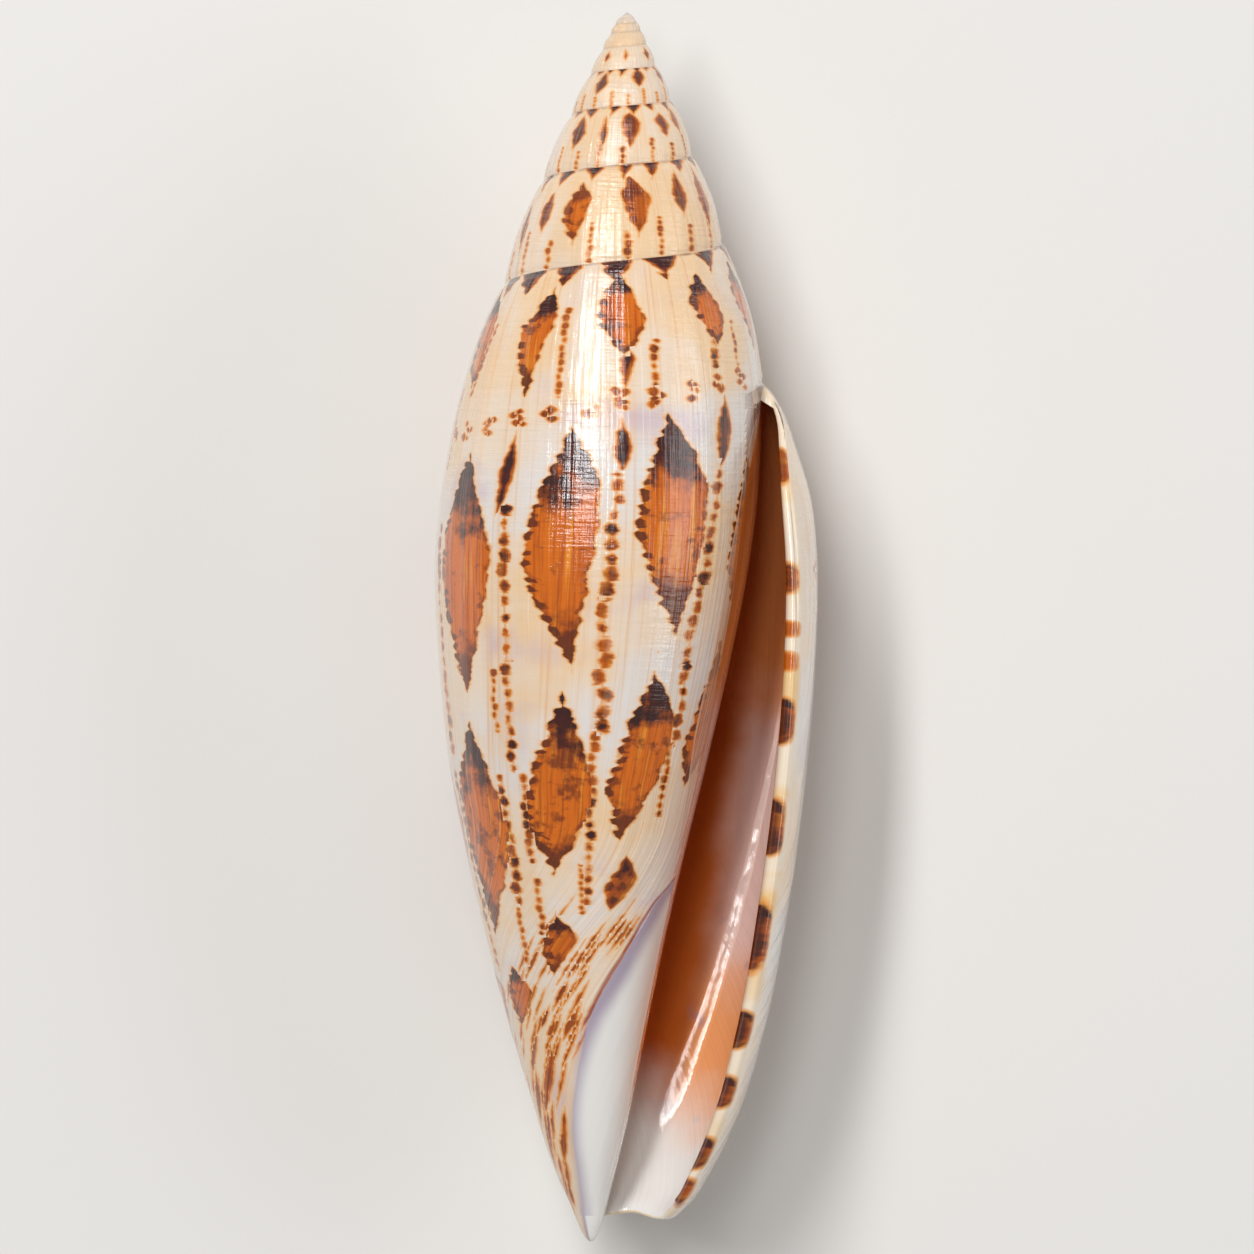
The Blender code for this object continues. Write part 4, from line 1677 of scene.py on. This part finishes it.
    def coats(self, skin: SkinFacts, marks: Flow) -> Flow:
        """Lay the glaze beside the opening and the white callus over the pattern, with grey-lilac painted
        shade along the callus edge.

        Args:
            skin: What is known of each place.
            marks: The colour of the pattern.

        Returns:
            The colour.
        """
        glaze, level = skin.glaze_depth, skin.level
        tan = skin.growth.noise(3.0, 0.05, 3).ramp(-0.1, 0.1).tint(self.glaze, self.glaze_light)
        colour = (glaze.ramp(-0.1, 0.15) * 0.5).tint(marks, tan)
        edge = glaze.ramp(-0.12, 0.0) * glaze.ramp(0.16, 0.04) * 0.4
        colour = edge.tint(colour, self.glaze_edge)
        depth = skin.callus_depth + skin.place.noise(0.8, 0.3) * 0.3
        # painted shade: grey-lilac where the callus is thin and along its upper part, and in a band just
        # outside its edge
        white = (depth + level.ramp(62.0, 70.0, -0.4, 0.5)).ramp(0.1, 1.5).tint(self.shade, self.callus)
        colour = (depth.ramp(-0.5, -0.02) * 0.35).tint(colour, self.shade)
        line = depth.ramp(-0.4, -0.12) * depth.ramp(0.12, -0.04) * level.ramp(66.5, 64.0)
        colour = (line * 0.8).tint(colour, self.rust)
        return depth.ramp(-0.06, 0.1).tint(colour, white)

    def inside(self, skin: SkinFacts) -> Flow:
        """Orange-brown deeper in, mauve and peach towards the lip, white at the front. The orange, brown,
        mauve and peach are lightened: painted light that stands in for light shining through the thin wall.

        Args:
            skin: What is known of each place.

        Returns:
            The colour.
        """
        place, level = skin.place, skin.level
        cloud = place.noise(0.12, 0.2, 3, 0.5, (3, 50))
        turn = skin.turn + cloud * 16.0
        # darker brown deeper in, orange towards the lip, both lightened as painted light for light shining
        # through the wall
        base = turn.ramp(306.0, 330.0).tint(self.inner_brown, self.inner_orange)
        light = (level + cloud * 8.0).ramp(58.0, 66.0).tint(self.inner_mauve, self.inner_peach)
        base = (turn.ramp(310.0, 328.0) * (level + cloud * 10.0).ramp(41.0, 49.0)).tint(base, light)
        smudge = place.noise(0.22, 0.3, 2, 0.5, (9, 14)).ramp(0.1, 0.2) * level.ramp(56.0, 60.0) * 0.6
        base = smudge.tint(base, self.inner_smudge)
        front = level + cloud * 5.0 + skin.turn.ramp(300.0, 350.0, 1.2, -1.2, "LINEAR")
        base = front.ramp(67.5, 74.0).tint(base, self.callus)
        return skin.turn.ramp(372.0, 384.0).tint(base, self.inner_edge)

    def ledge(self, skin: SkinFacts) -> Flow:
        """The ledge of the inner layer along the opening.

        Args:
            skin: What is known of each place.

        Returns:
            Its height in mm.
        """
        level = skin.level
        wide = level.ramp(46.0, 70.0, 0.7, 2.4, "LINEAR")
        steep = level.ramp(47.0, 71.0, 1.0, 0.42, "LINEAR")
        rim = skin.bend + skin.place.noise(0.25, 0.3, 2, 0.5, (4, 4)) * 0.45
        height = rim.ramp(wide * -0.5, wide * 0.5, 1.0, 0) * wide * steep
        return height * level.ramp(44.0, 49.0) * level.ramp(75.0, 69.0) * skin.hollow

    def relief(self, skin: SkinFacts) -> Flow:
        """Growth lines, spiral threads, ribs on the spire and the inner ledge, as bump.

        Args:
            skin: What is known of each place.

        Returns:
            The bumped normal.
        """
        place, growth, level = skin.place, skin.growth, skin.level
        spire = level.ramp(26.0, 14.0)
        lines = growth.noise(3.6, 0.1, 3, 0.6, (2, 2)) * self.line_height
        folds = growth.noise(0.9, 0.04, 2, 0.5, (2, 7)) * self.fold_height
        thread_height = level.ramp(42.0, 27.0, 0.015, 0.055) + spire * 0.045
        threads = place.noise(0.3, 3.0, 3, 0.65, (9, 2)) * thread_height
        ribs = place.noise(1.8, 0.2, 2, 0.5, (1, 4)) * spire * self.rib_height
        ripples = place.noise(1.2, 0.9, 3, 0.6, (6, 9)) * level.ramp(46.0, 33.0, 0.02, 0.07)
        covered = skin.hollow.most(skin.callus_depth.ramp(-0.1, 0.1), skin.over.ramp(-0.5, 0.0))
        share = (1.0 - covered) * 0.85 + skin.hollow * 0.35 + 0.15
        step = skin.callus_depth.ramp(-0.12, 0.12, 0, self.callus_height)
        height = (lines + folds + threads + ribs + ripples) * share + step + self.ledge(skin)
        return height.through("ShaderNodeBump", {"Height": height, "Strength": 1.0, "Distance": MM})


@dataclass(frozen=True)
class Studio:
    """The floor, the lights and the camera."""

    floor_colour: Colour = srgb(228, 226, 222)
    floor_size: float = 3.0
    frame_width: float = 0.08156
    distance: float = 1.0
    roll: float = 1.654
    target: tuple[float, float, float] = (0.00013, 0.00002, 0.0123)
    room_colour: Colour = (0.97, 0.98, 1.0, 1.0)
    room_light: float = 0.27

    def floor(self) -> None:
        """A plain pale floor."""
        body = bmesh.new()
        bmesh.ops.create_grid(body, x_segments=1, y_segments=1, size=self.floor_size)
        mesh = bpy.data.meshes.new("floor")
        body.to_mesh(mesh)
        body.free()
        ground = bpy.data.objects.new("floor", mesh)
        bpy.context.scene.collection.objects.link(ground)
        material = bpy.data.materials.new("floor_paper")
        material.use_nodes = True
        shader = material.node_tree.nodes["Principled BSDF"]
        shader.inputs["Base Color"].default_value = self.floor_colour
        shader.inputs["Roughness"].default_value = 0.9
        mesh.materials.append(material)

    def light(self, name: str, place: tuple, size: tuple, power: float) -> None:
        """One soft rectangular light, its long side along the shell.

        Args:
            name: Its name.
            place: Where it hangs.
            size: Its two sides.
            power: Its power in watts.
        """
        data = bpy.data.lights.new(name, "AREA")
        data.shape = "RECTANGLE"
        data.size, data.size_y = size
        data.energy = power
        lamp = bpy.data.objects.new(name, data)
        back = Vector(place).normalized()
        up = (Vector((0, 1, 0)) - back * back.y).normalized()
        lamp.rotation_euler = Matrix((up.cross(back), up, back)).transposed().to_euler()
        lamp.location = place
        bpy.context.scene.collection.objects.link(lamp)

    def lights(self) -> None:
        """A long soft key from the upper left, a fill from each side and a pale room."""
        self.light("key", (-0.22, 0.32, 0.6), (0.08, 0.56), 3.2)
        self.light("top_fill", (-0.1, 0.18, 0.9), (0.16, 0.4), 1.8)
        self.light("right_fill", (0.62, 0.1, 0.35), (0.3, 0.6), 1.2)
        world = bpy.data.worlds.new("room")
        world.use_nodes = True
        world.node_tree.nodes["Background"].inputs[0].default_value = self.room_colour
        world.node_tree.nodes["Background"].inputs[1].default_value = self.room_light
        bpy.context.scene.world = world

    def camera(self) -> None:
        """A long lens straight above, rolled so that the apex leans as in the photograph."""
        data = bpy.data.cameras.new("camera")
        data.sensor_width = 36.0
        data.lens = 36.0 * self.distance / self.frame_width
        data.clip_end = 20
        view = bpy.data.objects.new("camera", data)
        view.location = Vector(self.target) + Vector((0, 0, self.distance))
        view.rotation_euler = Euler((0, 0, math.radians(self.roll)))
        bpy.context.scene.collection.objects.link(view)
        bpy.context.scene.camera = view

    def set_up(self) -> None:
        """Place everything around the shell."""
        self.camera()
        self.floor()
        self.lights()
        bpy.context.scene.view_settings.view_transform = "Standard"


def axis_of(node: bpy.types.Object) -> Vector:
    """Where the coiling axis is: through the shell's front tip, which is its lowest point along Y.

    Args:
        node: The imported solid.

    Returns:
        The place of the apex on that axis.
    """
    low = min((corner.co for corner in node.data.vertices), key=lambda point: point.y)
    high = max(corner.co.y for corner in node.data.vertices)
    return Vector((low.x, high, low.z))


def face_outward(mesh: bpy.types.Mesh) -> None:
    """Turn every face outward, once its corners carry their values.

    Args:
        mesh: The painted mesh.
    """
    body = bmesh.new()
    body.from_mesh(mesh)
    bmesh.ops.recalc_face_normals(body, faces=body.faces)
    body.to_mesh(mesh)
    open_edges = sum(1 for edge in body.edges if len(edge.link_faces) != 2)
    LOG.info("shell skin: %d faces, %d open edges", len(body.faces), open_edges)
    body.free()


def rest_on_floor(mesh: bpy.types.Mesh) -> None:
    """Flatten what would reach below the floor.

    Args:
        mesh: The pressed mesh.
    """
    where = np.empty(len(mesh.vertices) * 3, np.float32)
    mesh.vertices.foreach_get("co", where)
    where[2::3] = np.maximum(where[2::3], 0)
    mesh.vertices.foreach_set("co", where)
    mesh.update()


def main() -> None:
    """Build the shell and its studio."""
    logging.basicConfig(level=logging.INFO)
    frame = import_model()
    Studio().set_up()
    spiral = Spiral()
    smooth, plan = ShellMesh(spiral, axis_of(frame["nodes"]["shell"])).build()
    SkinPainter(spiral, plan, MarkLayout(spiral).lay_out()).paint(smooth.data)
    face_outward(smooth.data)
    shell = Relief().press(smooth, ShellFinish().make())
    rest_on_floor(shell.data)
    LOG.info("mitre shell: %d faces", len(shell.data.polygons))
    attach(shell, "root")
    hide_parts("shell")


if __name__ == "__main__":
    main()
